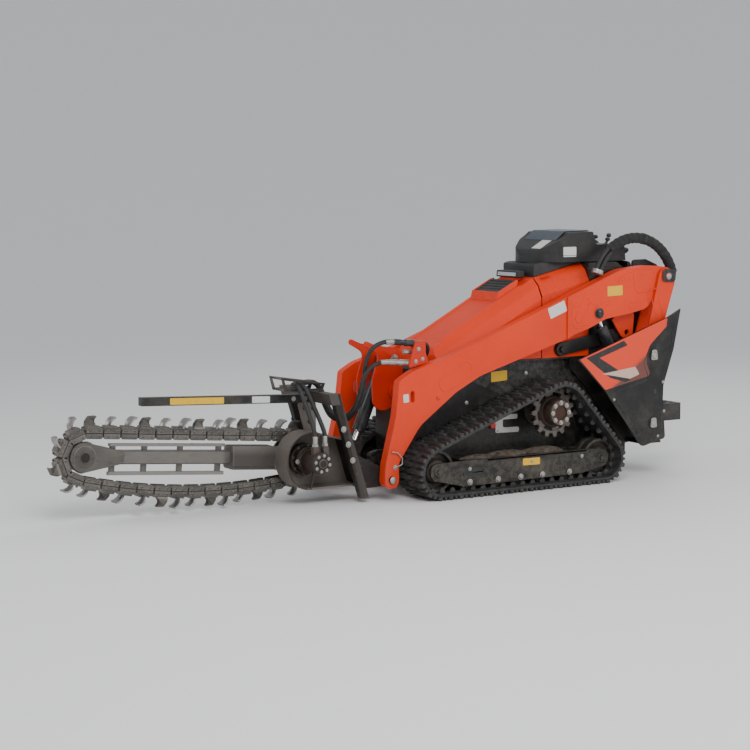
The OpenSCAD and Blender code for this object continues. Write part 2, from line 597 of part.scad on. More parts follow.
module trencher_head() color([0.26, 0.19, 0.14]) {
    face = plate_x - 0.5;
    difference() {
        slab([[post_at(84) - face, 84, 0], [post_at(338) - face, 338, 0], [500, 388, 120], [672, 388, 140],
            [672, 84, 140]], web_y, 200);
        slab([[200, 94, 0], [200, 338 - (post_at(338) - face - 200) * head_rise - 10.4, 0], [500, 377.6, 110],
            [662, 378, 130], [662, 94, 130]], web_y + plate_t, 201);
    }
    slab([[432, 365, 0], [432, 529, 10], [540, 533, 10], [500, 375, 0]], web_y, web_y + plate_t);
    slab([[post_at(140) - face, 140, 0], [post_at(330) - face, 330, 0], [615, 330, 90], [615, 140, 90]],
        -web_y - plate_t, -web_y);
    shaft(drive_shaft, drive_r - chord_drop, -16, 16);
    shaft(drive_shaft, 30, -web_y - 1, web_y + 1);
    for (z = [120, 320]) block([post_at(z + 10) - face, -web_y - plate_t, z - 10], [post_at(z) + 24, web_y + 1, z + 10]);
}

module drive_motor() color([0.3, 0.24, 0.2]) {
    shaft(drive_shaft, 84, web_y + plate_t + 0.3, 122);
    shaft(drive_shaft, 70, 121, 160);
    shaft(drive_shaft, 57, 159, 310);
    for (route = hose_routes) let (port = route[len(route) - 1])
        block([port.x - 17, port.y - 17, 250], [port.x + 17, port.y + 17, 318]);
}

chain_mid = chain_h / 2;
chain_wheels = [[nose.x, nose.y, nose_r + chain_mid], [drive_shaft.x, drive_shaft.y, drive_r + chain_mid]];
chain_sag = 58;

// The chain hangs below the straight line between its wheels on the lower run
function sag_at(p) = let (u = (p.x - drive_shaft.x) / boom_l, line = drive_shaft.y + u * (nose.y - drive_shaft.y))
    p.y < line && u > 0 && u < 1 ? [p.x, p.y - 4 * chain_sag * u * (1 - u)] : p;

chain_step = belt_len(chain_wheels) / link_count;
chain_pin = [for (k = [0:link_count - 1]) sag_at(belt_at(chain_wheels, k * chain_step, 0))];

// Corners of link k's side plate at shares u of its length and heights h over its middle
function on_link(k, uh) = let (a = chain_pin[k], b = chain_pin[(k + 1) % link_count], d = unit(b - a))
    [for (q = uh) a + q[0] * (b - a) + q[1] * [d.y, -d.x]];

module tooth(k) {
    side = [-1, 0, 1][k % 3];
    y = side * 36;
    translate([0, y + 28, 0]) rotate([90, 0, 0]) linear_extrude(56)
        polygon(on_link(k, [[0.12, chain_mid - 16], [0.12, chain_mid + 10], [0.3, chain_mid + 12],
            [0.34, chain_mid + tooth_h], [0.62, chain_mid + tooth_h * 0.6], [0.86, chain_mid + 10],
            [0.86, chain_mid - 16]]));
}

module digging_chain() color([0.36, 0.33, 0.3]) {
    plate = [[0.03, chain_mid], [0.97, chain_mid], [1, chain_mid - 12]];
    translate([0, chain_w / 2, 0]) rotate([90, 0, 0]) linear_extrude(chain_w) difference() {
        polygon([for (k = [0:link_count - 1]) each on_link(k, plate)]);
        polygon([for (k = [0:link_count - 1])
            each on_link(k, [[0.15, -chain_mid], [0.85, -chain_mid], [1, 12 - chain_mid]])]);
    }
    for (k = [0:link_count - 1]) tooth(k);
}

module boom() color([0.38, 0.35, 0.33]) {
    lean = 4.47;
    translate([drive_shaft.x, 0, drive_shaft.y]) rotate([0, -lean, 0]) {
        translate([190, -30, -35]) cube([boom_l - 340, 60, 70]);
        translate([150, -40, -62]) cube([250, 111.5, 124]);
        translate([60, 40, -62]) cube([91, 31.5, 124]);
        translate([420, -12, 55]) cube([boom_l - 560, 24, 14]);
        translate([420, -12, -92]) cube([boom_l - 560, 24, 16]);
        for (x = [440, boom_l - 190]) translate([x, -12, -80]) cube([26, 24, 140]);
    }
    for (s = [-1, 1]) difference() {
        union() {
            shaft(nose, 76, s > 0 ? 20 : -34, s > 0 ? 34 : -20);
            let (tail = nose - 210 * [cos(lean), sin(lean)])
                slab([[nose.x, nose.y + 76, 0], [nose.x, nose.y - 76, 0], [tail.x, tail.y - 30, 24],
                    [tail.x - 10, tail.y + 30, 24]], s > 0 ? 20 : -34, s > 0 ? 34 : -20);
        }
        shaft(nose, 8, -50, 50);
    }
    shaft(nose, nose_r - chord_drop, -16, 16);
    shaft(nose, 26, -44, 44);
}

bar_y = [28, 71.7];                  // faces of the safety bar, beside the head's strut

module safety_bar() color([0.12, 0.11, 0.1]) {
    rear = beam_x + 0.3;
    slab([[post_at(527) + rear, 527, 0], [post_at(571) + rear, 571, 0], [1430, 614, 0], [1430, 570, 0]],
        bar_y[0], bar_y[1]);
    slab([[post_at(531) + rear, 531, 0], [post_at(588) + rear, 588, 0], [post_at(588) + rear + 10, 588, 0],
        [post_at(531) + rear + 10, 531, 0]], bar_y[0] - 28, bar_y[1]);
}

module hose_guide() color([0.16, 0.13, 0.11]) {
    for (y = [0, 130]) {
        difference() {
            slab([[418, 596, 0], [644, 600, 0], [664, 676, 0], [404, 634, 0]], y - 6, y + 6);
            slab([[432, 608, 0], [634, 612, 0], [649, 661, 0], [421, 625, 0]], y - 7, y + 7);
        }
        block([420, y - 6, 590.3], [436, y + 6, 598]);
    }
    block([633, 5, 601], [644, 125, 611]);
    block([650, 5, 662], [659, 125, 671]);
}

module left_side_panel() side_panel("left");
module right_side_panel() side_panel("right");
module left_track_frame() track_frame("left");
module right_track_frame() track_frame("right");
module left_track() track("left");
module right_track() track("right");
module left_wheels() wheels("left");
module right_wheels() wheels("right");
module left_rear_link() rear_link("left");
module right_rear_link() rear_link("right");
module left_control_link() control_link("left");
module right_control_link() control_link("right");
module left_lift_barrel() lift_barrel("left");
module right_lift_barrel() lift_barrel("right");
module left_lift_rod() lift_rod("left");
module right_lift_rod() lift_rod("right");
module left_arm() arm("left");
module right_arm() arm("right");
module left_hose_loop() hose_loop("left");
module right_hose_loop() hose_loop("right");

lower_frame();
engine_block();
left_side_panel();
right_side_panel();
left_track_frame();
right_track_frame();
left_track();
right_track();
left_wheels();
right_wheels();
platform();
rear_body();
rear_cowl();
console_rim();
console();
operator_pad();
hood();
hood_grille();
work_lamp();
left_rear_link();
right_rear_link();
left_control_link();
right_control_link();
left_lift_barrel();
right_lift_barrel();
left_lift_rod();
right_lift_rod();
left_arm();
right_arm();
arm_crossmember();
coupler_block();
left_hose_loop();
right_hose_loop();
tilt_barrel();
tilt_rod();
mount_plate();
trencher_head();
drive_motor();
boom();
digging_chain();
safety_bar();
hose_guide();
trencher_hoses();
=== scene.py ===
# Stand-on tracked loader with a chain trencher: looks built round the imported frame.
# Lengths are in metres; +X is forward, +Y is left and +Z is up.
import json
import math

import bmesh
import bpy
import numpy as np
from mathutils import Matrix, Vector


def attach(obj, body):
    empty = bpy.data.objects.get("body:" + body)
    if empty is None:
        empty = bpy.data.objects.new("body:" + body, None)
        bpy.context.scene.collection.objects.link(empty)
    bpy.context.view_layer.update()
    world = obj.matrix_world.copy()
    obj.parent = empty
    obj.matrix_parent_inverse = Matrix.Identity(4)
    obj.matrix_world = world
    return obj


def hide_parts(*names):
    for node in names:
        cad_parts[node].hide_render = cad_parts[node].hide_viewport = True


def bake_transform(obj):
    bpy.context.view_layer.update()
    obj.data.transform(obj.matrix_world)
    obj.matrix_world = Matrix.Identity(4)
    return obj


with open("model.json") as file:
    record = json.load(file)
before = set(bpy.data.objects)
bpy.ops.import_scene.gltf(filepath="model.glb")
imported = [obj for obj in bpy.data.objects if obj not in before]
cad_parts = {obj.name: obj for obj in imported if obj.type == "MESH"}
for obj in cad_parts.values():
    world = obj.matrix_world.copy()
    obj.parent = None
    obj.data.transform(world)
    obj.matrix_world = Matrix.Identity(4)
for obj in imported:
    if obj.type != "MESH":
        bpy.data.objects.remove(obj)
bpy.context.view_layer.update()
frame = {"nodes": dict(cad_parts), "record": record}
scene = bpy.context.scene
print("frame loaded:", len(frame["nodes"]), "nodes")

bodyOf = {node: body for body, members in frame["record"]["behaviour"]["bodies"].items() for node in members}
sides = {"left": 1, "right": -1}


# mesh building: a part is (vertices, faces), and parts are gathered into one piece

def gridFaces(rows, cols, closeRows=False, closeCols=True):
    # quad between (i, j), (i, j+1), (i+1, j+1), (i+1, j) for each cell of the grid
    i, j = np.meshgrid(np.arange(rows if closeRows else rows - 1), np.arange(cols if closeCols else cols - 1),
                       indexing="ij")
    a, b = i * cols + j, i * cols + (j + 1) % cols
    c, d = ((i + 1) % rows) * cols + (j + 1) % cols, ((i + 1) % rows) * cols + j
    return np.stack([a, b, c, d], -1).reshape(-1, 4).tolist()


def skin(grid, caps=True, closeRows=False, closeCols=True):
    # a grid of points as a surface, with its first and last rows filled as flat ends
    grid = np.asarray(grid, float)
    rows, cols = grid.shape[:2]
    faces = gridFaces(rows, cols, closeRows, closeCols)
    if caps and not closeRows:
        faces += [list(range(cols))[::-1], list(range((rows - 1) * cols, rows * cols))]
    return grid.reshape(-1, 3), faces


def lathe(profile, steps=24, turn=0.0):
    # p(i, a) = (r_i cos a, r_i sin a, h_i): a profile of radius and height turned about +Z
    profile = np.asarray(profile, float)
    a = turn + np.arange(steps) * 2 * np.pi / steps
    r, h = profile[:, 0][:, None], profile[:, 1][:, None]
    return skin(np.stack([r * np.cos(a), r * np.sin(a), h + 0 * a], -1))


def corners(points, steps=5):
    # outline of [u, v, radius]: each corner becomes an arc of that radius between its tangent points
    pts = [np.array(p[:2], float) for p in points]
    out = []
    for k, p in enumerate(points):
        r = p[2] if len(p) > 2 else 0
        if r <= 0:
            out.append(pts[k][None])
            continue
        u, v = pts[k - 1] - pts[k], pts[(k + 1) % len(pts)] - pts[k]
        u, v = u / np.linalg.norm(u), v / np.linalg.norm(v)
        half = math.acos(np.clip(u @ v, -1, 1)) / 2
        mid = pts[k] + (u + v) / np.linalg.norm(u + v) * r / math.sin(half)
        s, e = pts[k] + u * r / math.tan(half) - mid, pts[k] + v * r / math.tan(half) - mid
        a0 = math.atan2(s[1], s[0])
        swing = (math.atan2(e[1], e[0]) - a0 + math.pi) % (2 * math.pi) - math.pi
        a = a0 + swing * np.linspace(0, 1, steps + 1)
        out.append(mid + r * np.stack([np.cos(a), np.sin(a)], -1))
    return np.vstack(out)


def inset(outline, t):
    # each point moves inwards by t along the mean of its two edge normals
    area = np.sum(outline[:, 0] * np.roll(outline[:, 1], -1) - np.roll(outline[:, 0], -1) * outline[:, 1])
    ahead, back = np.roll(outline, -1, 0) - outline, outline - np.roll(outline, 1, 0)
    ahead /= np.maximum(np.linalg.norm(ahead, axis=1, keepdims=True), 1e-9)
    back /= np.maximum(np.linalg.norm(back, axis=1, keepdims=True), 1e-9)
    mean = ahead + back
    mean /= np.maximum(np.linalg.norm(mean, axis=1, keepdims=True), 1e-9)
    return outline + np.sign(area) * t * np.stack([-mean[:, 1], mean[:, 0]], -1)


def plate(outline, y0, y1, ease, depth=None):
    # upright plate: the side outline in (x, z) at four planes, the outer two set in by the eased edge
    depth = ease if depth is None else depth
    rows = []
    for y, t in ((y0, ease), (y0 + depth, 0), (y1 - depth, 0), (y1, ease)):
        flat = inset(outline, t)
        rows.append(np.stack([flat[:, 0], np.full(len(flat), y), flat[:, 1]], -1))
    return skin(rows)


def slab(points, y0, y1, ease=0.0015, steps=5):
    # plate whose corners [x, z, radius] are rounded first
    return plate(corners(points, steps), y0, y1, ease)


def brick(low, high, ease=0.002):
    # block between two corners, with eased edges on its four long sides and both ends
    (x0, y0, z0), (x1, y1, z1) = low, high
    return slab([[x0, z0], [x1, z0], [x1, z1], [x0, z1]], y0, y1, ease)


def along(start, end, profile, steps=24):
    # a lathe form whose axis runs from start to end, its heights measured from start
    start, end = np.array(start, float), np.array(end, float)
    verts, faces = lathe(profile, steps)
    z = (end - start) / np.linalg.norm(end - start)
    x = np.cross([0, 1, 0] if abs(z[1]) < 0.9 else [1, 0, 0], z)
    x /= np.linalg.norm(x)
    return start + verts @ np.array([x, np.cross(z, x), z]), faces


def across(centre, profile, steps=32):
    # a lathe form about an axis along +Y through centre = (x, z), its heights being y
    verts, faces = lathe(profile, steps)
    return np.stack([centre[0] + verts[:, 0], verts[:, 2], centre[1] + verts[:, 1]], -1), faces


def spline(points, steps=6):
    # Catmull-Rom curve: ((2b) + (c-a)u + (2a-5b+4c-d)u^2 + (3b-a-3c+d)u^3) / 2 between b and c
    p = np.asarray(points, float)
    q = np.vstack([p[:1], p, p[-1:]])
    a, b, c, d = q[:-3, None], q[1:-2, None], q[2:-1, None], q[3:, None]
    u = np.arange(steps)[None, :, None] / steps
    curve = (2 * b + (c - a) * u + (2 * a - 5 * b + 4 * c - d) * u ** 2 + (3 * b - a - 3 * c + d) * u ** 3) / 2
    return np.vstack([curve.reshape(-1, 3), p[-1:]])


def pipe(path, radius, steps=12):
    # circles of that radius on frames carried along the path, without twist
    path = np.asarray(path, float)
    t = np.gradient(path, axis=0)
    t /= np.linalg.norm(t, axis=1, keepdims=True)
    side = np.cross(t[0], [0.31, 0.17, 0.93])
    frames = []
    for tangent in t:
        side = side - (side @ tangent) * tangent
        side /= np.linalg.norm(side)
        frames.append(side)
    n = np.array(frames)
    b = np.cross(t, n)
    a = np.arange(steps) * 2 * np.pi / steps
    radius = np.broadcast_to(np.asarray(radius, float), (len(path),))[:, None, None]
    ring = np.cos(a)[None, :, None] * n[:, None] + np.sin(a)[None, :, None] * b[:, None]
    return skin(path[:, None] + radius * ring)


def stamp(part, places, axes):
    # one part repeated: point = place + u * axis 0 + v * axis 1 + w * axis 2
    verts, faces = part
    places, axes = np.asarray(places, float), np.asarray(axes, float)
    if axes.ndim == 2:
        axes = np.broadcast_to(axes, (len(places), 3, 3))
    moved = places[:, None] + np.einsum("va,kab->kvb", verts, axes)
    count = len(verts)
    return moved.reshape(-1, 3), [[v + k * count for v in face] for k in range(len(places)) for face in faces]


outLeft = np.array([[1, 0, 0], [0, 0, -1], [0, 1, 0]])    # a part's own +Z faces the machine's left


def boltPart(r, h):
    # washer, six-sided head with a chamfer, and the low dome on top
    washer, head = lathe([[r * 1.45, 0], [r * 1.45, h * 0.2], [r * 1.3, h * 0.25]], 20), lathe(
        [[r, h * 0.22], [r, h * 0.85], [r * 0.82, h]], 6)
    return gather([washer, head])


def boltRing(centre, circle, y, r, h, count=8, turn=0.0):
    # bolts evenly round a circle on a side face
    a = np.arange(count) * 2 * math.pi / count + turn
    places = np.stack([centre[0] + circle * np.cos(a), 0 * a + y, centre[1] + circle * np.sin(a)], -1)
    return stamp(boltPart(r, h), places, outLeft)


def gather(parts):
    verts, faces, start = [], [], 0
    for v, f in parts:
        verts.append(v)
        faces += [[k + start for k in face] for face in f]
        start += len(v)
    return np.vstack(verts), faces


def shifted(part, x, y, z):
    return part[0] + [x, y, z], part[1]


def mirrored(part):
    verts, faces = part
    return verts * [1, -1, 1], faces


def settle(mesh, sharp=35):
    # outward faces, smooth shading with edges kept where they turn by more than the angle
    bm = bmesh.new()
    bm.from_mesh(mesh)
    bmesh.ops.remove_doubles(bm, verts=bm.verts, dist=1e-6)
    bmesh.ops.dissolve_degenerate(bm, edges=bm.edges, dist=1e-7)
    bmesh.ops.recalc_face_normals(bm, faces=bm.faces)
    bm.to_mesh(mesh)
    bm.free()
    mesh.shade_smooth()
    mesh.set_sharp_from_angle(angle=math.radians(sharp))


def piece(name, groups, body, replaced=(), sharp=35):
    # groups is {finish: [parts]}: one object with a material for each finish
    mesh = bpy.data.meshes.new(name)
    verts, faces, marks, start = [], [], [], 0
    for index, (finish, parts) in enumerate(groups.items()):
        v, f = gather(parts)
        verts.append(v)
        faces += [[k + start for k in face] for face in f]
        marks += [index] * len(f)
        start += len(v)
        mesh.materials.append(finishes[finish])
    mesh.from_pydata(np.vstack(verts).tolist(), [], faces)
    mesh.polygons.foreach_set("material_index", marks)
    settle(mesh, sharp)
    obj = bpy.data.objects.new(name, mesh)
    scene.collection.objects.link(obj)
    if body:
        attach(obj, body)
    if replaced:
        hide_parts(*replaced)
    return obj


def dressed(node, finish, width=0.002, segments=2, angle=32):
    # the CAD node's own form, merged and with its edges eased by a Bevel
    mesh = frame["nodes"][node].data.copy()
    mesh.name = node + "Skin"
    bm = bmesh.new()
    bm.from_mesh(mesh)
    bmesh.ops.remove_doubles(bm, verts=bm.verts, dist=2e-5)
    bmesh.ops.dissolve_limit(bm, angle_limit=math.radians(0.8), verts=bm.verts, edges=bm.edges)
    bm.to_mesh(mesh)
    bm.free()
    mesh.materials.clear()
    mesh.materials.append(finishes[finish])
    mesh.polygons.foreach_set("material_index", [0] * len(mesh.polygons))
    mesh.shade_smooth()
    mesh.set_sharp_from_angle(angle=math.radians(angle))
    obj = bpy.data.objects.new(node + "Skin", mesh)
    scene.collection.objects.link(obj)
    bevel = obj.modifiers.new("ease", "BEVEL")
    bevel.width, bevel.segments, bevel.limit_method = width, segments, "ANGLE"
    bevel.angle_limit = math.radians(angle)
    bevel.harden_normals = True
    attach(obj, bodyOf[node])
    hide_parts(node)
    return obj




# shader maths

class Wire:
    # a socket that takes part in sums; values go through Math nodes
    def __init__(self, shader, socket):
        self.shader, self.socket = shader, socket

    def math(self, kind, *others):
        return self.shader.add("ShaderNodeMath", {"operation": kind}, [self, *others])

    def __add__(self, other): return self.math("ADD", other)
    def __radd__(self, other): return self.math("ADD", other)
    def __mul__(self, other): return self.math("MULTIPLY", other)
    def __rmul__(self, other): return self.math("MULTIPLY", other)
    def __sub__(self, other): return self.math("SUBTRACT", other)
    def __rsub__(self, other): return self.shader.add("ShaderNodeMath", {"operation": "SUBTRACT"}, [other, self])
    def __truediv__(self, other): return self.math("DIVIDE", other)

    def above(self, low, high):
        # 0 below low, 1 above high, smooth between
        return self.shader.add("ShaderNodeMapRange", {"interpolation_type": "SMOOTHSTEP"},
                               {"Value": self, "From Min": low, "From Max": high})


class Shader:
    def __init__(self, name):
        self.material = bpy.data.materials.new(name)
        self.material.use_nodes = True
        self.tree = self.material.node_tree
        self.base = self.tree.nodes["Principled BSDF"]
        self.place = self.add("ShaderNodeTexCoord", {}, {}, "Object")

    def add(self, kind, settings, inputs, out=0):
        node = self.tree.nodes.new(kind)
        for key, value in settings.items():
            if key == "stops":
                ramp = node.color_ramp.elements
                while len(ramp) < len(value):
                    ramp.new(1)
                for stop, (at, colour) in zip(ramp, value):
                    stop.position, stop.color = at, (*colour, 1)
            else:
                setattr(node, key, value)
        for key, value in (inputs.items() if isinstance(inputs, dict) else enumerate(inputs)):
            self.put(node.inputs[key], value)
        return Wire(self, node.outputs[out])

    def put(self, socket, value):
        if isinstance(value, Wire):
            self.tree.links.new(value.socket, socket)
        elif socket.type == "RGBA":
            socket.default_value = (*value, 1)
        else:
            socket.default_value = value

    def noise(self, scale, detail=4, rough=0.6, stretch=None):
        place = self.place if stretch is None else self.add(
            "ShaderNodeVectorMath", {"operation": "MULTIPLY"}, [self.place, stretch])
        return self.add("ShaderNodeTexNoise", {}, {"Vector": place, "Scale": scale, "Detail": detail,
                                                   "Roughness": rough})

    def cells(self, scale, feature="F1"):
        return self.add("ShaderNodeTexVoronoi", {"feature": feature}, {"Vector": self.place, "Scale": scale})

    def height(self):
        return self.add("ShaderNodeSeparateXYZ", {}, [self.place], 2)

    def edges(self):
        return self.add("ShaderNodeNewGeometry", {}, {}, "Pointiness").above(0.53, 0.62)

    def mix(self, a, b, mask):
        return self.add("ShaderNodeMix", {"data_type": "RGBA"}, {0: mask, 6: a, 7: b}, 2)

    def finish(self, colour, rough, metal=0.0, bump=None, strength=0.3, depth=0.001, coat=0.0, coatRough=0.1,
               specular=0.5, emit=None, emitStrength=0.0):
        base = self.base.inputs
        self.put(base["Base Color"], colour)
        self.put(base["Roughness"], rough)
        self.put(base["Metallic"], metal)
        self.put(base["Coat Weight"], coat)
        base["Coat Roughness"].default_value = coatRough
        base["Specular IOR Level"].default_value = specular
        if emit:
            base["Emission Color"].default_value = (*emit, 1)
            base["Emission Strength"].default_value = emitStrength
        if bump is not None:
            self.put(base["Normal"], self.add("ShaderNodeBump", {}, {"Strength": strength, "Distance": depth,
                                                                  "Height": bump}, "Normal"))
        return self.material


dust = (0.30, 0.25, 0.19)
earth = (0.12, 0.085, 0.055)


def orangePaint(name, colour=(0.80, 0.042, 0.004), low=0.7):
    # gloss paint: faint mottling, pale dust in patches and towards the ground, scuffs on the edges
    s = Shader(name)
    cloud, fine = s.noise(2.2, 6, 0.62), s.noise(60, 3)
    streak = s.noise(9, 5, 0.7, (1, 1, 0.25))
    shade = s.mix(colour, tuple(c * 0.72 for c in colour), cloud.above(0.35, 0.75) * 0.5)
    film = streak.above(0.55, 0.8) * 0.07 + (1 - s.height().above(0.0, low)) * streak.above(0.45, 0.72) * 0.16
    worn = s.edges() * fine.above(0.45, 0.6) * 0.35
    tint = s.mix(s.mix(shade, dust, film), (0.30, 0.04, 0.015), worn)
    return s.finish(tint, 0.44 + film * 0.9 + fine * 0.06, 0, fine * 0.2 + cloud * 0.8, 0.06, 0.002,
                    0.10 - film * 0.3, 0.2, 0.30)


def darkPaint(name, colour=(0.0075, 0.0075, 0.0080), film=0.12, rough=0.34, low=0.6):
    # black coat: fine orange-peel, dust clinging low down and in clouds, pale rubbed edges
    s = Shader(name)
    cloud, peel, grit = s.noise(5, 7, 0.68), s.noise(240, 2), s.noise(38, 6, 0.75)
    dirt = cloud.above(0.42, 0.72) * film + (1 - s.height().above(0.0, low)) * grit.above(0.4, 0.66) * film
    rub = s.edges() * grit.above(0.4, 0.62) * 0.5
    tint = s.mix(s.mix(colour, dust, dirt), (0.10, 0.095, 0.09), rub)
    return s.finish(tint, rough + dirt * 0.9, 0, peel * 0.5 + grit, 0.12, 0.0012, specular=0.40)


def rustSteel(name, dark=(0.045, 0.034, 0.028), rust=(0.15, 0.058, 0.022), share=0.6, metal=0.35):
    # scale and rust in patches over dark steel, with dried earth in the low spots
    s = Shader(name)
    patch, pit, clod = s.noise(11, 8, 0.7), s.cells(180), s.noise(30, 6, 0.75)
    red = patch.above(0.43, 0.66) * share
    mud = clod.above(0.55, 0.75) * 0.4
    tint = s.mix(s.mix(dark, rust, red), (0.21, 0.16, 0.11), mud)
    shine = s.edges() * 0.5
    return s.finish(s.mix(tint, (0.30, 0.27, 0.24), shine), 0.62 + red * 0.2 + mud * 0.15, metal * (1 - mud),
                    pit * 0.3 + clod + patch * 0.6, 0.35, 0.0025)


def workedSteel(name, tone=(0.20, 0.18, 0.16), shine=0.75, film=0.55, rough=0.42):
    # steel scoured by soil: scratches along its length, dusty film, paler edges
    s = Shader(name)
    scratch = s.noise(130, 4, 0.7, (0.12, 1, 1))
    cloud, grit = s.noise(14, 7, 0.7), s.noise(90, 4)
    mask = cloud.above(0.4, 0.68) * film
    tint = s.mix(s.mix(tone, tuple(c * 0.45 for c in tone), scratch.above(0.45, 0.75)), (0.15, 0.12, 0.09), mask)
    bright = s.mix(tint, (0.42, 0.40, 0.37), s.edges() * 0.5)
    return s.finish(bright, rough + mask * 0.4, shine * (1 - mask), scratch + grit * 0.8, 0.22, 0.0012)


def zincPlate():
    s = Shader("zincPlate")
    spangle = s.cells(420)
    grime = s.noise(60, 5).above(0.5, 0.75) * 0.5
    return s.finish(s.mix((0.42, 0.41, 0.38), (0.14, 0.12, 0.10), grime), 0.36 + spangle * 0.25, 1 - grime * 0.5,
                    spangle, 0.08, 0.0004)


def chromeRod():
    s = Shader("chromeRod")
    ground = s.noise(300, 2, 0.5, (1, 1, 0.03))
    return s.finish((0.78, 0.79, 0.80), 0.08 + ground * 0.12, 1, ground, 0.03, 0.0003)


def rubber(name, base=(0.022, 0.022, 0.023), film=0.5, dusty=(0.17, 0.155, 0.135), scale=20):
    # dull rubber: grey bloom and dried dust, fine moulded grain
    s = Shader(name)
    cloud, grain = s.noise(scale, 7, 0.72), s.noise(300, 2)
    bloom = s.noise(scale * 0.3, 4)
    mask = cloud.above(0.40, 0.70) * film + s.edges() * 0.35
    return s.finish(s.mix(s.mix(base, (0.022, 0.022, 0.023), bloom), dusty, mask), 0.62 + mask * 0.3, 0,
                    grain * 0.4 + cloud, 0.25, 0.0015)


def grained(name, colour, rough=0.48, size=260, film=0.06):
    # moulded plastic: leather-like grain from cell walls, light dust
    s = Shader(name)
    grain, cloud = s.cells(size, "DISTANCE_TO_EDGE"), s.noise(9, 6, 0.7)
    mask = cloud.above(0.45, 0.75) * film
    return s.finish(s.mix(colour, dust, mask), rough + mask * 0.6, 0, grain.above(0.0, 0.25), 0.25, 0.0006)


def sleeveWeave():
    # woven nylon over the hoses: two sets of diagonal threads that pass over and under, from the UV map
    s = Shader("sleeveWeave")
    uv = s.add("ShaderNodeTexCoord", {}, {}, "UV")
    parts = [s.add("ShaderNodeSeparateXYZ", {}, [uv], k) for k in (0, 1)]
    one = ((parts[0] + parts[1]) * 40 * 2 * math.pi).math("SINE")
    two = ((parts[0] - parts[1]) * 40 * 2 * math.pi).math("SINE")
    thread = one.math("ABSOLUTE").math("MAXIMUM", two.math("ABSOLUTE"))
    over = (one * two).above(-0.2, 0.2)
    wear = s.noise(16, 6, 0.7).above(0.42, 0.7)
    tint = s.mix(s.mix((0.006, 0.006, 0.0065), (0.024, 0.0235, 0.024), thread * over), (0.08, 0.07, 0.06), wear * 0.35)
    return s.finish(tint, 0.75 + wear * 0.15, 0, thread + over * 0.4, 0.6, 0.0016)


def plainSheet(name, colour, rough=0.45, grime=0.25):
    s = Shader(name)
    spots, scuff = s.noise(45, 6, 0.7), s.noise(160, 3, 0.6, (1, 1, 0.2))
    mask = spots.above(0.48, 0.72) * grime + scuff.above(0.6, 0.8) * grime
    return s.finish(s.mix(colour, (0.20, 0.17, 0.14), mask), rough + mask * 0.4, 0, scuff, 0.04, 0.0004)


def panelStripe():
    # the panel's sheet: orange at the top, fading through dots to grey-brown along its lower edge
    s = Shader("panelStripe")
    x, z = [s.add("ShaderNodeSeparateXYZ", {}, [s.place], k) for k in (0, 2)]
    line = z + x * 0.70          # grows towards the upper front
    dots = s.cells(220).above(0.25, 0.5)
    spot = s.noise(26, 6, 0.7)
    fade = 1 - line.above(-0.46, -0.30)
    mask = (fade * 1.3 - dots * 0.5 * (1 - fade)).above(0.25, 0.75)
    tint = s.mix((0.80, 0.044, 0.005), (0.07, 0.035, 0.025), mask * 0.9)
    film = spot.above(0.55, 0.75) * 0.08
    return s.finish(s.mix(tint, dust, film), 0.34 + film, 0, spot, 0.05, 0.0006, 0.3 - film)


def lampLens():
    s = Shader("lampLens")
    x = s.add("ShaderNodeSeparateXYZ", {}, [s.place], 1)
    ribs = (x * 520).math("SINE")
    return s.finish((0.42, 0.44, 0.46), 0.14 + ribs * 0.03, 0, ribs, 0.25, 0.0008, 0.5, 0.05)


def soil():
    s = Shader("drySoil")
    clod, grit = s.noise(40, 8, 0.75), s.noise(300, 3)
    return s.finish(s.mix((0.045, 0.034, 0.026), (0.13, 0.10, 0.075), clod.above(0.35, 0.7)), 0.95, 0,
                    clod + grit * 0.3, 0.8, 0.004)


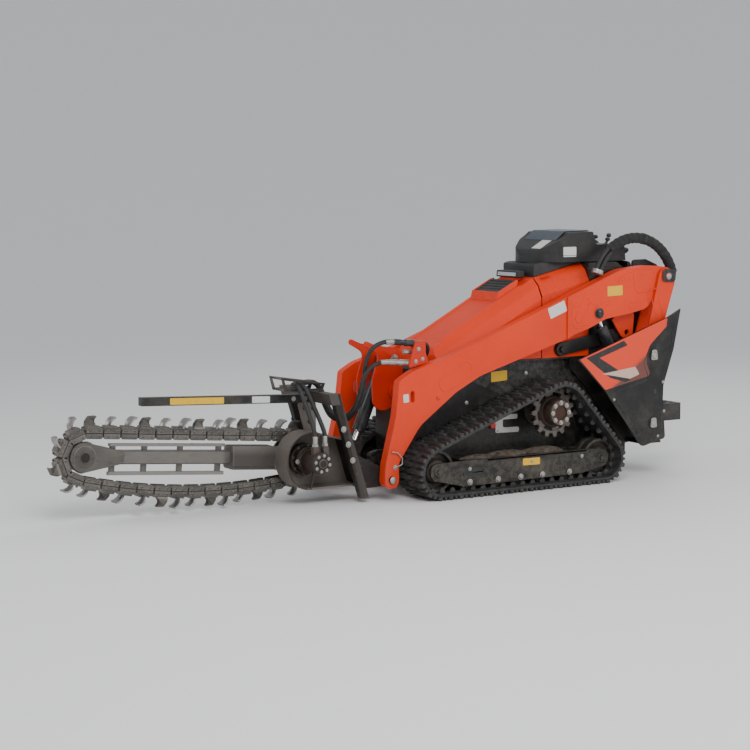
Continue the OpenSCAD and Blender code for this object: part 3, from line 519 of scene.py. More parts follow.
finishes = {
    "orange": orangePaint("orangePaint"),
    # darker copy of the arms' orange paint for parts set in between the arms: painted shade, the real paint is the same
    # orange
    "paintedShadeOrange": orangePaint("orangePaintInPaintedShade", (0.62, 0.028, 0.006)),
    "black": darkPaint("blackPaint"),
    "gloss": darkPaint("glossBlack", (0.014, 0.017, 0.022), 0.16, 0.22),
    "undercarriage": darkPaint("undercarriagePaint", (0.011, 0.0105, 0.010), 0.20, 0.45, 0.5),
    "trackRubber": rubber("trackRubber", (0.009, 0.009, 0.0095), 0.50, (0.085, 0.080, 0.073), 22),
    "hoseRubber": rubber("hoseRubber", (0.009, 0.009, 0.009), 0.25, (0.09, 0.08, 0.07), 34),
    "casting": darkPaint("engineCasting", (0.20, 0.21, 0.21), 0.25, 0.55),
    "plastic": grained("blackPlastic", (0.008, 0.008, 0.0085)),
    "rimPlastic": grained("rimPlastic", (0.022, 0.023, 0.025), 0.55),
    "screen": grained("displayGlass", (0.050, 0.066, 0.085), 0.38, 300, 0.15),
    "foam": grained("padFoam", (0.010, 0.010, 0.0105), 0.6, 170, 0.12),
    "chrome": chromeRod(),
    "zinc": zincPlate(),
    "rust": rustSteel("rustySteel", (0.028, 0.022, 0.019), (0.095, 0.036, 0.015), 0.55),
    "darkRust": rustSteel("darkRustSteel", (0.020, 0.018, 0.017), (0.060, 0.028, 0.015), 0.32),
    "boomSteel": workedSteel("boomSteel", (0.085, 0.078, 0.072), 0.5, 0.30, 0.42),
    "chainSteel": workedSteel("chainSteel", (0.085, 0.074, 0.064), 0.6, 0.30, 0.42),
    "chainDark": workedSteel("chainDark", (0.034, 0.030, 0.027), 0.5, 0.28, 0.46),
    "toothSteel": workedSteel("toothSteel", (0.34, 0.33, 0.315), 0.85, 0.12, 0.32),
    "sleeve": sleeveWeave(),
    "white": plainSheet("whiteSheet", (0.66, 0.66, 0.64)),
    "yellow": plainSheet("yellowSheet", (0.80, 0.46, 0.008)),
    "inkBlack": plainSheet("inkBlack", (0.018, 0.017, 0.017), 0.35, 0.15),
    "paleStripe": plainSheet("paleStripe", (0.60, 0.42, 0.34), 0.4, 0.3),
    "redCap": plainSheet("redCap", (0.60, 0.03, 0.02), 0.4, 0.2),
    "stripe": panelStripe(),
    "lens": lampLens(),
    "soil": soil(),
}
finishes["finSteel"] = workedSteel("finSteel", (0.060, 0.054, 0.050), 0.6, 0.3, 0.45)
print("finishes made:", len(finishes))


# carried-over CAD forms, with their edges eased

dressings = {
    "orange": ["left_arm", "right_arm", "left_rear_link", "right_rear_link", "rear_cowl"],
    # the crossmember takes the darker copy of the orange paint: painted shade between the arms
    "paintedShadeOrange": ["arm_crossmember"],
    "black": ["lower_frame", "left_side_panel", "right_side_panel", "platform", "rear_body", "left_control_link",
              "right_control_link", "safety_bar"],
    "darkRust": ["hose_guide", "mount_plate"],
    "rust": ["trencher_head"],
    "undercarriage": ["left_track_frame", "right_track_frame"],
    "casting": ["engine_block"],
    "gloss": ["left_lift_barrel", "right_lift_barrel", "tilt_barrel"],
    "chrome": ["left_lift_rod", "right_lift_rod", "tilt_rod"],
    "plastic": ["hood_grille", "work_lamp"],
    "rimPlastic": ["console_rim"],
}
easeOf = {"left_arm": 0.003, "right_arm": 0.003, "console_rim": 0.005, "rear_cowl": 0.0015, "engine_block": 0.006,
          "safety_bar": 0.003, "mount_plate": 0.003, "hood_grille": 0.0012, "work_lamp": 0.005}
for finish, nodes in dressings.items():
    for node in nodes:
        dressed(node, finish, easeOf.get(node, 0.002))
print("CAD forms dressed")


# a loop of belt or chain round its wheels

def loopPath(wheels):
    # wheels are (x, z, r), walked anticlockwise: each takes an arc, then a straight run to the next wheel
    w = np.array(wheels, float)
    ahead = np.roll(w, -1, 0)
    gap = ahead[:, :2] - w[:, :2]
    dist = np.linalg.norm(gap, axis=1)
    leave = np.arctan2(gap[:, 1], gap[:, 0]) - np.arccos((w[:, 2] - ahead[:, 2]) / dist)
    arrive = np.roll(leave, 1)
    swing = (leave - arrive) % (2 * np.pi)
    arc, run = w[:, 2] * swing, np.sqrt(dist ** 2 - (w[:, 2] - ahead[:, 2]) ** 2)
    starts = np.concatenate([[0], np.cumsum(arc + run)])

    def at(s, off=0.0):
        # points at distances s along the loop, moved out by off, with the outward and forward directions there
        s = np.asarray(s, float) % starts[-1]
        k = np.clip(np.searchsorted(starts, s, side="right") - 1, 0, len(w) - 1)
        d = s - starts[k]
        a = arrive[k] + np.minimum(d / arc[k], 1) * swing[k]
        out = np.stack([np.cos(a), np.sin(a)], -1)
        forward = np.stack([-out[:, 1], out[:, 0]], -1)
        point = w[k, :2] + (w[k, 2] + off)[:, None] * out + np.maximum(d - arc[k], 0)[:, None] * forward
        return point, out, forward
    return at, starts[-1]


def lift(flat, y=0.0):
    # side-view points or directions (x, z) set at y
    return np.stack([flat[:, 0], np.full(len(flat), y), flat[:, 1]], -1)


# tracks

track = {"front": (-0.134, 0.150, 0.132), "sprocket": (-0.930, 0.415, 0.162), "rear": (-1.225, 0.140, 0.122),
         "middle": 0.332, "width": 0.250, "belt": 0.016, "lug": 0.018, "lugs": 48,
         "rollers": (-0.335, -0.520, -0.671, -0.818, -1.004), "rollerR": 0.044}


def barPart(halfLength, height, foot, top, ease=0.004):
    # bar across the belt: a trapezium section with round shoulders, drawn in at both ends
    section = corners([[-foot, -0.002], [foot, -0.002], [top, height, 0.004], [-top, height, 0.004]], 3)
    rows = []
    for y, k in ((-halfLength, 0.72), (-halfLength + ease, 1), (0, 1.0), (halfLength - ease, 1), (halfLength, 0.72)):
        rows.append(np.stack([section[:, 0] * k, np.full(len(section), y), section[:, 1] * (0.5 + 0.5 * k)], -1))
    return skin(rows)


def trackParts():
    at, length = loopPath([track["front"], track["sprocket"], track["rear"]])
    half, t = track["width"] / 2, track["belt"]
    edge = corners([[-half, -t, 0.005], [half, -t, 0.005], [half, 0, 0.006], [-half, 0, 0.006]], 3)
    s = np.linspace(0, length, 241)[:-1]
    point, out, forward = at(s)
    rows = lift(point, track["middle"])[:, None] + edge[None, :, 0, None] * [0, 1, 0] + \
        edge[None, :, 1, None] * lift(out)[:, None]
    parts = [skin(rows, closeRows=True)]
    pitch = length / track["lugs"]
    long, short = barPart(0.068, track["lug"], 0.0145, 0.0095), barPart(0.030, track["lug"] * 0.8, 0.010, 0.006)
    for bar, y, shift in ((long, 0.056, 0.25), (long, -0.056, 0.75), (short, 0.092, 0.75), (short, -0.092, 0.25)):
        point, out, forward = at((np.arange(track["lugs"]) + shift) * pitch)
        axes = np.stack([lift(forward), np.tile([0, 1, 0], (len(out), 1)), lift(out)], 1)
        parts.append(stamp(bar, lift(point, track["middle"] + y), axes))
    horn = skin([[[-a, -b, -c], [a, -b, -c], [a, b, -c], [-a, b, -c]] for a, b, c in
                 ((0.017, 0.006, t - 0.001), (0.013, 0.0055, t + 0.014), (0.006, 0.003, t + 0.023))])
    point, out, forward = at((np.arange(track["lugs"]) + 0.5) * pitch)
    axes = np.stack([lift(forward), np.tile([0, 1, 0], (len(out), 1)), lift(out)], 1)
    for y in (-0.0545, 0.0545):
        parts.append(stamp(horn, lift(point, track["middle"] + y), axes))
    return parts


def evenAbout(middle, half):
    # a profile of (r, y) and its mirror image on the other side of the middle
    return [[r, middle - h] for r, h in half] + [[r, middle + h] for r, h in half[::-1]]


hub = {"bolts": 8, "boltR": 0.009, "boltH": 0.010, "circle": 0.055, "teeth": 15, "toothDepth": 0.011, "spokes": 6}


def wheelParts():
    inner = track["lug"] + track["belt"] + 0.0005        # from the shoes' tips in to the wheels' rims
    y = track["middle"]
    dull, rust = [], []
    for x, z, r in (track["front"], track["rear"]):
        r = r + track["lug"] - inner
        dull.append(across((x, z), evenAbout(y, [
            [r * 0.2, 0.05], [r * 0.5, 0.05], [r * 0.6, 0.022], [r * 0.8, 0.024], [r * 0.86, 0.05],
            [r - 0.003, 0.05], [r, 0.046], [r, 0.018], [r - 0.012, 0.012]]), 48))
    r = track["rollerR"]
    for x in track["rollers"]:
        dull.append(across((x, inner + r), evenAbout(y, [
            [r * 0.3, 0.05], [r * 0.86, 0.05], [r, 0.046], [r, 0.018], [r * 0.7, 0.012]]), 32))
    # sprocket: the rim's radius is a clipped cosine with one wave to each tooth, so tips and roots are flat
    cx, cz, r = track["sprocket"]
    r = r + track["lug"] - inner
    a = np.arange(360) * np.pi / 180
    tooth = r - hub["toothDepth"] + hub["toothDepth"] * np.clip(np.cos(hub["teeth"] * a) * 1.6, -1, 1)
    rows = []
    for radius, dy in ((tooth - 0.003, -0.017), (tooth, -0.013), (tooth, 0.013), (tooth - 0.003, 0.017),
                       (0.108 + 0 * a, 0.017), (0.108 + 0 * a, -0.017)):
        rows.append(np.stack([cx + radius * np.cos(a), y + dy + 0 * a, cz + radius * np.sin(a)], -1))
    rust.append(skin(rows, closeRows=True))
    spoke = slab([[0.07, -0.019, 0.004], [0.112, -0.026, 0], [0.112, 0.026, 0], [0.07, 0.019, 0.004]], -0.012, 0.012)
    for k in range(hub["spokes"]):
        c, s = math.cos(k * math.pi / 3 + 0.3), math.sin(k * math.pi / 3 + 0.3)
        rust.append((spoke[0] @ np.array([[c, 0, s], [0, 1, 0], [-s, 0, c]]) + [cx, y, cz], spoke[1]))
    rust.append(across((cx, cz), [
        [0.03, 0.203], [0.092, 0.203], [0.092, y + 0.010], [0.086, y + 0.022], [0.074, y + 0.024],
        [0.074, y + 0.080], [0.066, y + 0.092], [0.040, y + 0.092], [0.038, y + 0.084], [0.016, y + 0.084]], 48))
    zinc = [boltRing((cx, cz), hub["circle"], y + 0.0905, hub["boltR"], hub["boltH"], hub["bolts"])]
    return dull, rust, zinc


tracks = trackParts()
dull, rusty, bolts = wheelParts()
for name, sign in sides.items():
    turn = (lambda p: p) if sign > 0 else mirrored
    piece(name + "TrackBelt", {"trackRubber": [turn(p) for p in tracks]}, "chassis", [name + "_track"])
    piece(name + "TrackWheels", {"undercarriage": [turn(p) for p in dull], "rust": [turn(p) for p in rusty],
                                 "zinc": [turn(p) for p in bolts]}, "chassis", [name + "_wheels"])
print("tracks and wheels made")


# digging chain, teeth and boom

chain = {"drive": (0.520, 0.235), "driveR": 0.084, "length": 1.210, "lean": 4.47, "noseR": 0.094, "high": 0.057,
         "wide": 0.076, "links": 33, "tooth": 0.058, "sag": 0.058, "plate": 0.010, "lane": 0.030}
boomDir = np.array([math.cos(math.radians(chain["lean"])), math.sin(math.radians(chain["lean"]))])
nose = np.array(chain["drive"]) + chain["length"] * boomDir


def chainPins():
    # pins evenly spaced round both wheels; below the shaft line they drop by 4 * sag * u * (1 - u)
    mid = chain["high"] / 2
    at, length = loopPath([(*nose, chain["noseR"] + mid), (*chain["drive"], chain["driveR"] + mid)])
    point = at(np.arange(chain["links"]) * length / chain["links"])[0]
    u = (point[:, 0] - chain["drive"][0]) / chain["length"]
    line = chain["drive"][1] + u * (nose[1] - chain["drive"][1])
    hangs = (point[:, 1] < line) & (u > 0) & (u < 1)
    point[:, 1] -= np.where(hangs, 4 * chain["sag"] * u * (1 - u), 0)
    return point


def cupPart(wide, high, reach, t=0.009):
    # curved blade: a strip that leans back and curls, u from its foot to its lip, v across
    u, v = np.meshgrid(np.linspace(0, 1, 9), np.linspace(-1, 1, 9), indexing="ij")
    x = reach * (0.10 + 0.9 * u ** 1.5) - 0.010 * v ** 2
    z = high * np.sin(u * 1.45) / math.sin(1.45)
    y = wide / 2 * v * (0.62 + 0.38 * u ** 0.6)
    front = np.stack([x, y, z], -1)
    back = np.stack([x + t * np.cos(u * 1.2), y * 0.98, z - t * np.sin(u * 1.2)], -1)
    return skin(np.concatenate([front, back[:, ::-1]], 1))


def finPart(high, reach, t=0.014):
    # shark-fin tooth: plate with a raked front, hooked tip and hollow back
    return plate(corners([[-0.030, -0.004], [0.030, -0.004], [0.024, 0.012, 0.006], [0.008, high * 0.45, 0.02],
                          [reach, high, 0.004], [-0.012, high * 0.92, 0.012], [-0.030, high * 0.4, 0.03]], 5),
                 -t, t, 0.002, 0.003)


def chainPiece():
    pins = chainPins()
    ahead = np.roll(pins, -1, 0)
    forward = (ahead - pins) / np.linalg.norm(ahead - pins, axis=1, keepdims=True)
    out = np.stack([forward[:, 1], -forward[:, 0]], -1)
    axes = np.stack([lift(forward), np.tile([0, 1, 0], (len(out), 1)), lift(out)], 1)
    mid = lift((pins + ahead) / 2)
    hi, half = chain["high"] / 2, np.linalg.norm(ahead - pins, axis=1).mean() / 2
    face = chain["wide"] / 2
    index = np.arange(chain["links"])
    even = index % 2 == 0

    def block(long, low, high, wide, radii, taper=1.0):
        # link block seen from the side: low edge, high edge, and the radii of its low and high corners
        return slab([[-long, low, radii[0]], [long, low, radii[0]], [long * taper, high, radii[1]],
                     [-long * taper, high, radii[1]]], *wide, 0.002, 4 if radii[1] > 0.006 or radii[0] > 0.006 else 3)

    steel, dark, teeth, darkTeeth = [], [], [], []
    for sign in (-1, 1):
        wide = sorted((sign * face, sign * (face - chain["plate"])))
        # each side has two plates; which is the bright one changes from link to link
        for part, bright, dull in ((block(half * 0.93, 0.001, hi, wide, (0.002, 0.009)), steel, dark),
                                   (block(half * 0.93, -hi, -0.001, wide, (0.009, 0.002)), dark, steel)):
            bright.append(stamp(part, mid[even], axes[even]))
            dull.append(stamp(part, mid[~even], axes[~even]))
        rivet = across((0, 0), [[0.0085, 0], [0.0085, sign * 0.003], [0.006, sign * 0.0065], [0.002, sign * 0.008]], 10)
        for x in (-half * 0.5, half * 0.5):
            for z in (-hi * 0.5, hi * 0.5):
                steel.append(stamp(shifted(rivet, x, sign * (face - 0.0005) * 0.9, z), mid, axes))
    dark.append(stamp(block(half * 0.99, -hi * 0.6, hi * 0.75, (-0.027, 0.027), (0.006, 0.006)), mid, axes))
    dark.append(stamp(block(0.034, hi - 0.006, hi + 0.010, (-0.030, 0.030), (0, 0.004), 0.030 / 0.034), mid, axes))
    top = chain["tooth"] - 0.006
    kinds = ((cupPart(0.078, top, 0.044), teeth), (finPart(top, 0.036), darkTeeth),
             (cupPart(0.066, top * 0.9, 0.040), teeth))
    for kind, (part, group) in enumerate(kinds):
        for lane, shift in enumerate((chain["lane"], -chain["lane"], 0.0)):
            pick = (index % 3 == kind) & ((index // 3) % 3 == lane)
            group.append(stamp(shifted(part, 0, shift, hi + 0.004), mid[pick], axes[pick]))
    piece("diggingChain", {"chainSteel": steel, "chainDark": dark, "toothSteel": teeth, "finSteel": darkTeeth},
          "attachment", ["digging_chain"])


boom = {"beam": (0.060, 0.070), "rails": ((0.055, 0.069), (-0.092, -0.074)), "posts": (0.440, 0.66, 0.86),
        "sleeve": (-0.040, 0.0715), "cheekR": 0.076, "cheekY": (0.020, 0.034), "tail": 0.210, "teeth": 9}


def boomPiece():
    length = chain["length"]

    def lean(part):
        # parts drawn along +X from the drive shaft, tipped up by the boom's angle
        c, s = boomDir
        verts = part[0] @ np.array([[c, 0, s], [0, 1, 0], [-s, 0, c]])
        return verts + [chain["drive"][0], 0, chain["drive"][1]], part[1]

    wide, high = (v / 2 for v in boom["beam"])
    section = corners([[-wide, -high, 0.006], [wide, -high, 0.006], [wide, high, 0.006], [-wide, high, 0.006]], 1)
    steel = [lean(skin([np.stack([np.full(8, x), *section.T], -1)
                        for x in (0.190, 0.194, length - 0.160, length - 0.150)]))]
    for z0, z1 in boom["rails"]:
        steel.append(lean(slab([[0.420, z0], [length - 0.140, z0], [length - 0.140, z1], [0.420, z1]], -0.012, 0.012)))
    for x in (*boom["posts"], length - 0.175):
        steel.append(lean(slab([[x, -0.078, 0.003], [x + 0.028, -0.078, 0.003], [x + 0.028, 0.058, 0.003],
                                [x, 0.058, 0.003]], -0.010, 0.010)))
    # sleeve round the boom's root: an eight-cornered section, drawn in at both ends
    y0, y1 = boom["sleeve"]
    flat = np.array([[y0 + 0.012, -0.062], [y1 - 0.016, -0.062], [y1, -0.040], [y1, 0.012], [y1 - 0.016, 0.062],
                     [y0 + 0.012, 0.062], [y0, 0.050], [y0, -0.050]])
    sleeve = [lean(skin([np.stack([np.full(8, x), flat[:, 0], flat[:, 1] * k], -1)
                         for x, k in ((0.150, 0.97), (0.156, 1), (0.392, 1), (0.400, 0.97))])),
              lean(brick((0.060, 0.040, -0.062), (0.151, 0.0715, 0.062)))]
    r, tail, turn = boom["cheekR"], nose - boom["tail"] * boomDir, np.linspace(1.5, -1.5, 24)
    cheek = np.vstack([corners([[nose[0], nose[1] - r], [tail[0], tail[1] - 0.030, 0.024],
                                [tail[0] - 0.010, tail[1] + 0.030, 0.024], [nose[0], nose[1] + r]], 6),
                       nose + r * np.stack([np.cos(turn), np.sin(turn)], -1)])
    zinc = []
    for sign in (-1, 1):
        steel.append(plate(cheek, *sorted((sign * boom["cheekY"][0], sign * boom["cheekY"][1])), 0.002))
        for group, profile, steps in (
                (steel, [[0.010, 0.033], [0.060, 0.033], [0.060, 0.037], [0.056, 0.039], [0.012, 0.039]], 48),
                (sleeve, [[0.004, 0.038], [0.030, 0.038], [0.028, 0.0425], [0.022, 0.044], [0.004, 0.044]], 32),
                (zinc, [[0.003, 0.0425], [0.012, 0.0425], [0.011, 0.0438], [0.003, 0.0439]], 6)):
            group.append(across(nose, [[radius, sign * y] for radius, y in profile], steps))
    a = np.arange(180) * np.pi / 90
    r = chain["noseR"] - 0.014 + 0.003 * np.cos(boom["teeth"] * a)
    steel.append(skin([np.stack([nose[0] + r * np.cos(a), y + 0 * a, nose[1] + r * np.sin(a)], -1)
                       for y in (-0.016, 0.016)]))
    piece("boomBar", {"boomSteel": steel, "darkRust": sleeve, "zinc": zinc}, "attachment", ["boom"])


chainPiece()
boomPiece()
print("chain and boom made")


# hood, cowl and console

def ridge(start, end, y, wide, high):
    # long low crease on a sloping sheet: a half-round section that sinks in at both ends
    start, end = np.array(start, float), np.array(end, float)
    d = (end - start) / np.linalg.norm(end - start)
    n = np.array([-d[1], d[0]])
    n = n if n[1] > 0 else -n
    a = np.linspace(0, np.pi, 9)
    rows = []
    for t, k in ((0, 0.05), (0.02, 0.55), (0.06, 0.9), (0.12, 1), (0.5, 1), (0.88, 1), (0.94, 0.9), (0.98, 0.55),
                 (1, 0.05)):
        p = start + t * (end - start)
        h = high * k * np.sin(a) - 0.0008
        rows.append(np.stack([p[0] + n[0] * h, y + wide / 2 * np.cos(a), p[1] + n[1] * h], -1))
    return skin(rows)


def bead(outline, y, r=0.0025):
    # raised bead that follows a closed outline on a side face: a flattened round section carried round it
    o = np.asarray(outline, float)
    t = np.roll(o, -1, 0) - np.roll(o, 1, 0)
    t /= np.linalg.norm(t, axis=1, keepdims=True)
    n = np.stack([t[:, 1], -t[:, 0]], -1)
    a = np.arange(8) * np.pi / 4
    flat = o[:, None] + r * 1.6 * np.cos(a)[None, :, None] * n[:, None]
    return skin(np.stack([flat[..., 0], y + r * np.sin(a) + 0 * flat[..., 0], flat[..., 1]], -1), closeRows=True)


def turned(points, centre, angle):
    # side-view points turned by the angle in degrees and set at the centre
    c, s = math.cos(math.radians(angle)), math.sin(math.radians(angle))
    p = np.asarray(points, float)
    return np.stack([centre[0] + p[:, 0] * c - p[:, 1] * s, centre[1] + p[:, 0] * s + p[:, 1] * c], -1)


def pill(centre, long, wide, angle):
    # outline of a slot with round ends
    a = np.concatenate([np.linspace(-90, 90, 9), np.linspace(90, 270, 9)]) * np.pi / 180
    ends = np.repeat([1, -1], 9) * (long - wide) / 2
    return turned(np.stack([wide / 2 * np.cos(a) + ends, wide / 2 * np.sin(a)], -1), centre, angle)


def tilted(centre, long, high, angle):
    # corners of a turned rectangle
    x, z = long / 2, high / 2
    return turned([(-x, -z), (x, -z), (x, z), (-x, z)], centre, angle)


def label(points, y, thick=0.0009, r=0.005):
    # blank sticker or plate on a side face
    return slab([[x, z, r] for x, z in points], y, y + thick, 0.0002, 4)


def pinHead(centre, y, r, flat, step=0.004):
    # round head of a pin: a flange, a chamfer in to the flat's radius, and a shallow face
    return across(centre, [[0.003, y], [r, y], [r, y + step], [flat, y + 2 * step], [0.003, y + 2 * step + 0.001]], 28)


def boltsAt(places, y, r=0.0075, h=0.007):
    return stamp(boltPart(r, h), [[x, y, z] for x, z in places], outLeft)


def onBothSides(name, groups, body):
    for side, sign in sides.items():
        made = {k: [p if sign > 0 else mirrored(p) for p in parts] for k, parts in groups.items()}
        piece(side + name, made, body)


hoodWork = {"creaseY": 0.132, "creaseWide": 0.034, "creaseHigh": 0.008, "from": (-0.86, 1.1105), "to": (-0.31, 0.8142)}
dressed("hood", "orange", 0.0016, angle=22)
dressed("console", "plastic", 0.007)
creases = [ridge(hoodWork["from"], hoodWork["to"], sign * hoodWork["creaseY"], hoodWork["creaseWide"],
                 hoodWork["creaseHigh"]) for sign in (-1, 1)]
latch = brick((-0.2508, -0.03, 0.716), (-0.2465, 0.03, 0.744), 0.0015)
piece("hoodCreases", {"orange": creases, "gloss": [latch]}, "hood")
piece("cowlCreases", {"orange": [ridge((-0.955, 1.1540), (-1.02, 1.1692), s * 0.19, 0.03, 0.004) for s in (-1, 1)]},
      "chassis")

console = {"visorY": 0.150, "levers": ((-1.500, 0.085, 0.050), (-1.500, -0.085, 0.050), (-1.470, 0.0, 0.040),
                                       (-1.440, 0.150, 0.030)),
           "grip": ((-1.545, -0.170, 1.270), (-1.585, -0.170, 1.290), (-1.592, -0.120, 1.296), (-1.592, 0.0, 1.298),
                    (-1.592, 0.120, 1.296), (-1.585, 0.170, 1.290), (-1.545, 0.170, 1.270))}


def leverParts(x, y, tall):
    # boot and stem, then the knob on top
    top = np.array([x - 0.02, y, 1.327 + tall])
    return [along((x, y, 1.320), top, [[0.013, 0], [0.013, 0.006], [0.006, 0.010], [0.006, tall * 0.8]], 16),
            along(top - [0, 0, 0.014], top + [0, 0, 0.010],
                  [[0.006, 0], [0.013, 0.005], [0.015, 0.012], [0.011, 0.021], [0.004, 0.024]], 20)]


visor = slab([[-1.090, 1.352, 0.004], [-1.150, 1.3985, 0.01], [-1.319, 1.4025, 0.01], [-1.330, 1.4025, 0.003],
              [-1.322, 1.4095, 0.003], [-1.150, 1.4065, 0.012], [-1.080, 1.352, 0.003]],
             -console["visorY"], console["visorY"], 0.004)
stickers = [slab([[-1.0985, 1.3595, 0], [-1.0085, 1.3090, 0], [-1.0078, 1.3103, 0], [-1.0978, 1.3608, 0]],
                 0.03, 0.115, 0.0003),
            label([(-1.20, 1.262), (-1.11, 1.262), (-1.11, 1.318), (-1.20, 1.318)], 0.1962)]
seams = [slab([[-1.548, 1.268, 0], [-1.110, 1.268, 0], [-1.110, 1.272, 0], [-1.548, 1.272, 0]], y0, y1, 0.0008)
         for y0, y1 in ((-0.1972, -0.1955), (0.1955, 0.1972))]
piece("consoleFittings", {"screen": [visor], "white": stickers,
                          "rimPlastic": [p for lever in console["levers"] for p in leverParts(*lever)] + seams,
                          "hoseRubber": [pipe(spline(console["grip"], 6), 0.011, 14)]}, "chassis")
lens = slab([[-0.8600, 1.1570, 0], [-0.8560, 1.1570, 0], [-0.8583, 1.1770, 0], [-0.8625, 1.1770, 0]],
            -0.086, 0.086, 0.001)
tower = slab([[-0.912, 1.1385, 0.004], [-0.868, 1.1285, 0.004], [-0.868, 1.1485, 0.004], [-0.912, 1.1485, 0.004]],
             -0.078, 0.078, 0.002)
piece("lampParts", {"lens": [lens], "orange": [tower]}, "chassis")
scoopSide = [[-0.838, 1.0975, 0.004], [-0.852, 1.146, 0.008], [-0.712, 1.0745, 0.008], [-0.700, 1.026, 0.004]]
scoop = [slab(scoopSide, y - 0.005, y + 0.005, 0.002) for y in (-0.1235, 0.1235)]
scoop.append(slab([[-0.7035, 1.027, 0], [-0.6975, 1.024, 0], [-0.7095, 1.0735, 0.002], [-0.7155, 1.0765, 0.002]],
                  -0.128, 0.128, 0.001))
piece("scoopFrame", {"orange": scoop}, bodyOf["hood_grille"])
print("hood and console finished")


# side panels, arms and links

faceY = {"panel": 0.400, "arm": 0.325, "armRear": 0.335, "link": 0.352, "frame": 0.405, "tub": 0.202}
panel = {
    "top": [[-1.0755, 0.6995, 0.004], [-1.7000, 0.9085, 0.006], [-1.6930, 0.8590, 0.02], [-1.5890, 0.7720, 0.05],
            [-1.5480, 0.7080, 0.04], [-1.5520, 0.6490, 0.04], [-1.5830, 0.5850, 0.02], [-1.2560, 0.5195, 0.010]],
    "chevron": [[-1.120, 0.706, 0], [-1.385, 0.792, 0.004], [-1.412, 0.765, 0.004], [-1.212, 0.703, 0],
                [-1.372, 0.612, 0], [-1.436, 0.566, 0.004], [-1.398, 0.557, 0.004], [-1.290, 0.586, 0]],
    "wedge": [[-1.232, 0.612, 0], [-1.468, 0.640, 0.006], [-1.498, 0.596, 0.004], [-1.430, 0.574, 0]],
    "border": [[-1.765, 0.925, 0.03], [-1.722, 0.735, 0.06], [-1.655, 0.545, 0.06], [-1.652, 0.444, 0.03],
               [-1.672, 0.235, 0.02], [-1.540, 0.204, 0.02], [-1.520, 0.222, 0.03], [-1.300, 0.497, 0.02],
               [-1.572, 0.560, 0.03], [-1.528, 0.655, 0.05], [-1.575, 0.756, 0.05], [-1.675, 0.840, 0.04]],
    "bolts": [(-1.673, 0.541), (-1.683, 0.373), (-1.640, 0.232), (-1.320, 0.462)],
    "pins": [(-1.603, 0.698, 0.020, 0.017), (-1.602, 0.309, 0.018, 0.015)],
    "keepers": [[[-1.628, 0.672, 0.01], [-1.578, 0.672, 0.01], [-1.586, 0.730, 0.01], [-1.620, 0.730, 0.01]],
                [[-1.626, 0.284, 0.01], [-1.578, 0.284, 0.01], [-1.586, 0.340, 0.01], [-1.620, 0.340, 0.01]]],
}
y = faceY["panel"]
onBothSides("PanelDetails", {
    "stripe": [slab(panel["top"], y + 0.0001, y + 0.0009, 0.0002, 6)],
    "inkBlack": [slab(panel["chevron"], y + 0.0008, y + 0.0014, 0.0001, 3),
                 label(pill((-1.615, 0.492), 0.03, 0.022, 80), y + 0.0001)],
    "paleStripe": [slab(panel["wedge"], y + 0.0008, y + 0.0020, 0.0001, 3)],
    "zinc": [boltsAt(panel["bolts"], y, 0.006, 0.005)]
    + [pinHead((x, z), y + 0.005, r, flat) for x, z, r, flat in panel["pins"]]
    + [slab(keeper, y + 0.0052, y + 0.0085, 0.0006) for keeper in panel["keepers"]],
    "gloss": [bead(corners(panel["border"], 6), y + 0.0003, 0.0016)],
}, "chassis")

armWork = {
    "pills": [((-0.298, 0.645), 0.230, 0.085, -28, "arm"), ((-1.142, 0.968), 0.150, 0.052, -62, "armRear"),
              ((-1.440, 1.146), 0.100, 0.024, -28, "armRear"), ((-1.292, 0.999), 0.092, 0.022, -16, "armRear"),
              ((-1.515, 0.990), 0.092, 0.022, -16, "armRear")],
    "recess": [[-1.653, 1.190, 0.02], [-1.640, 1.060, 0.03], [-1.520, 1.054, 0.03], [-1.498, 1.190, 0.02]],
    "lobe": [[-1.060, 1.000, 0.04], [-1.075, 0.862, 0.04], [-1.262, 0.905, 0.04], [-1.222, 1.010, 0.04]],
    "whites": [((-0.974, 0.978), 0.120, 0.062, -20.5), ((0.020, 0.546), 0.034, 0.044, -5)],
    "yellow": ((-1.370, 1.070), 0.108, 0.056, -2),
    "loop": [[0.115, 0.333, 0.268], [0.080, 0.334, 0.262], [0.048, 0.334, 0.230], [0.052, 0.334, 0.196],
             [0.087, 0.333, 0.184]],
}
onBothSides("ArmDetails", {
    "orange": [bead(pill(*shape), faceY[face]) for *shape, face in armWork["pills"]]
    + [bead(corners(armWork["recess"], 5), faceY["armRear"]),
       bead(corners(armWork["lobe"], 5), faceY["armRear"], 0.002),
       boltsAt([(-0.185, 0.538)], faceY["arm"], 0.011, 0.009)],
    "white": [label(tilted(*plateAt), faceY["arm"] + 0.0001) for plateAt in armWork["whites"]],
    "yellow": [label(tilted(*armWork["yellow"]), faceY["armRear"] + 0.0001)],
    "gloss": [boltsAt([(-1.256, 0.948)], 0.339, 0.021, 0.014)],
    "zinc": [pinHead((0.111, 0.117), 0.338, 0.019, 0.014), boltsAt([(0.087, 0.182)], faceY["arm"], 0.010, 0.008),
             pipe(armWork["loop"], 0.0035, 8)],
}, "loader_arms")
linkCap = [[-1.695, 1.112, 0.02], [-1.790, 1.108, 0.02], [-1.796, 1.180, 0.02], [-1.700, 1.186, 0.02]]
onBothSides("LinkDetails", {"orange": [bead(pill((-1.676, 0.93), 0.30, 0.050, 73), faceY["link"], 0.002)],
                            "gloss": [slab(linkCap, 0.3575, 0.3605, 0.0008)],
                            "zinc": [pinHead((-1.740, 1.143), 0.360, 0.018, 0.014)]}, "rear_links")

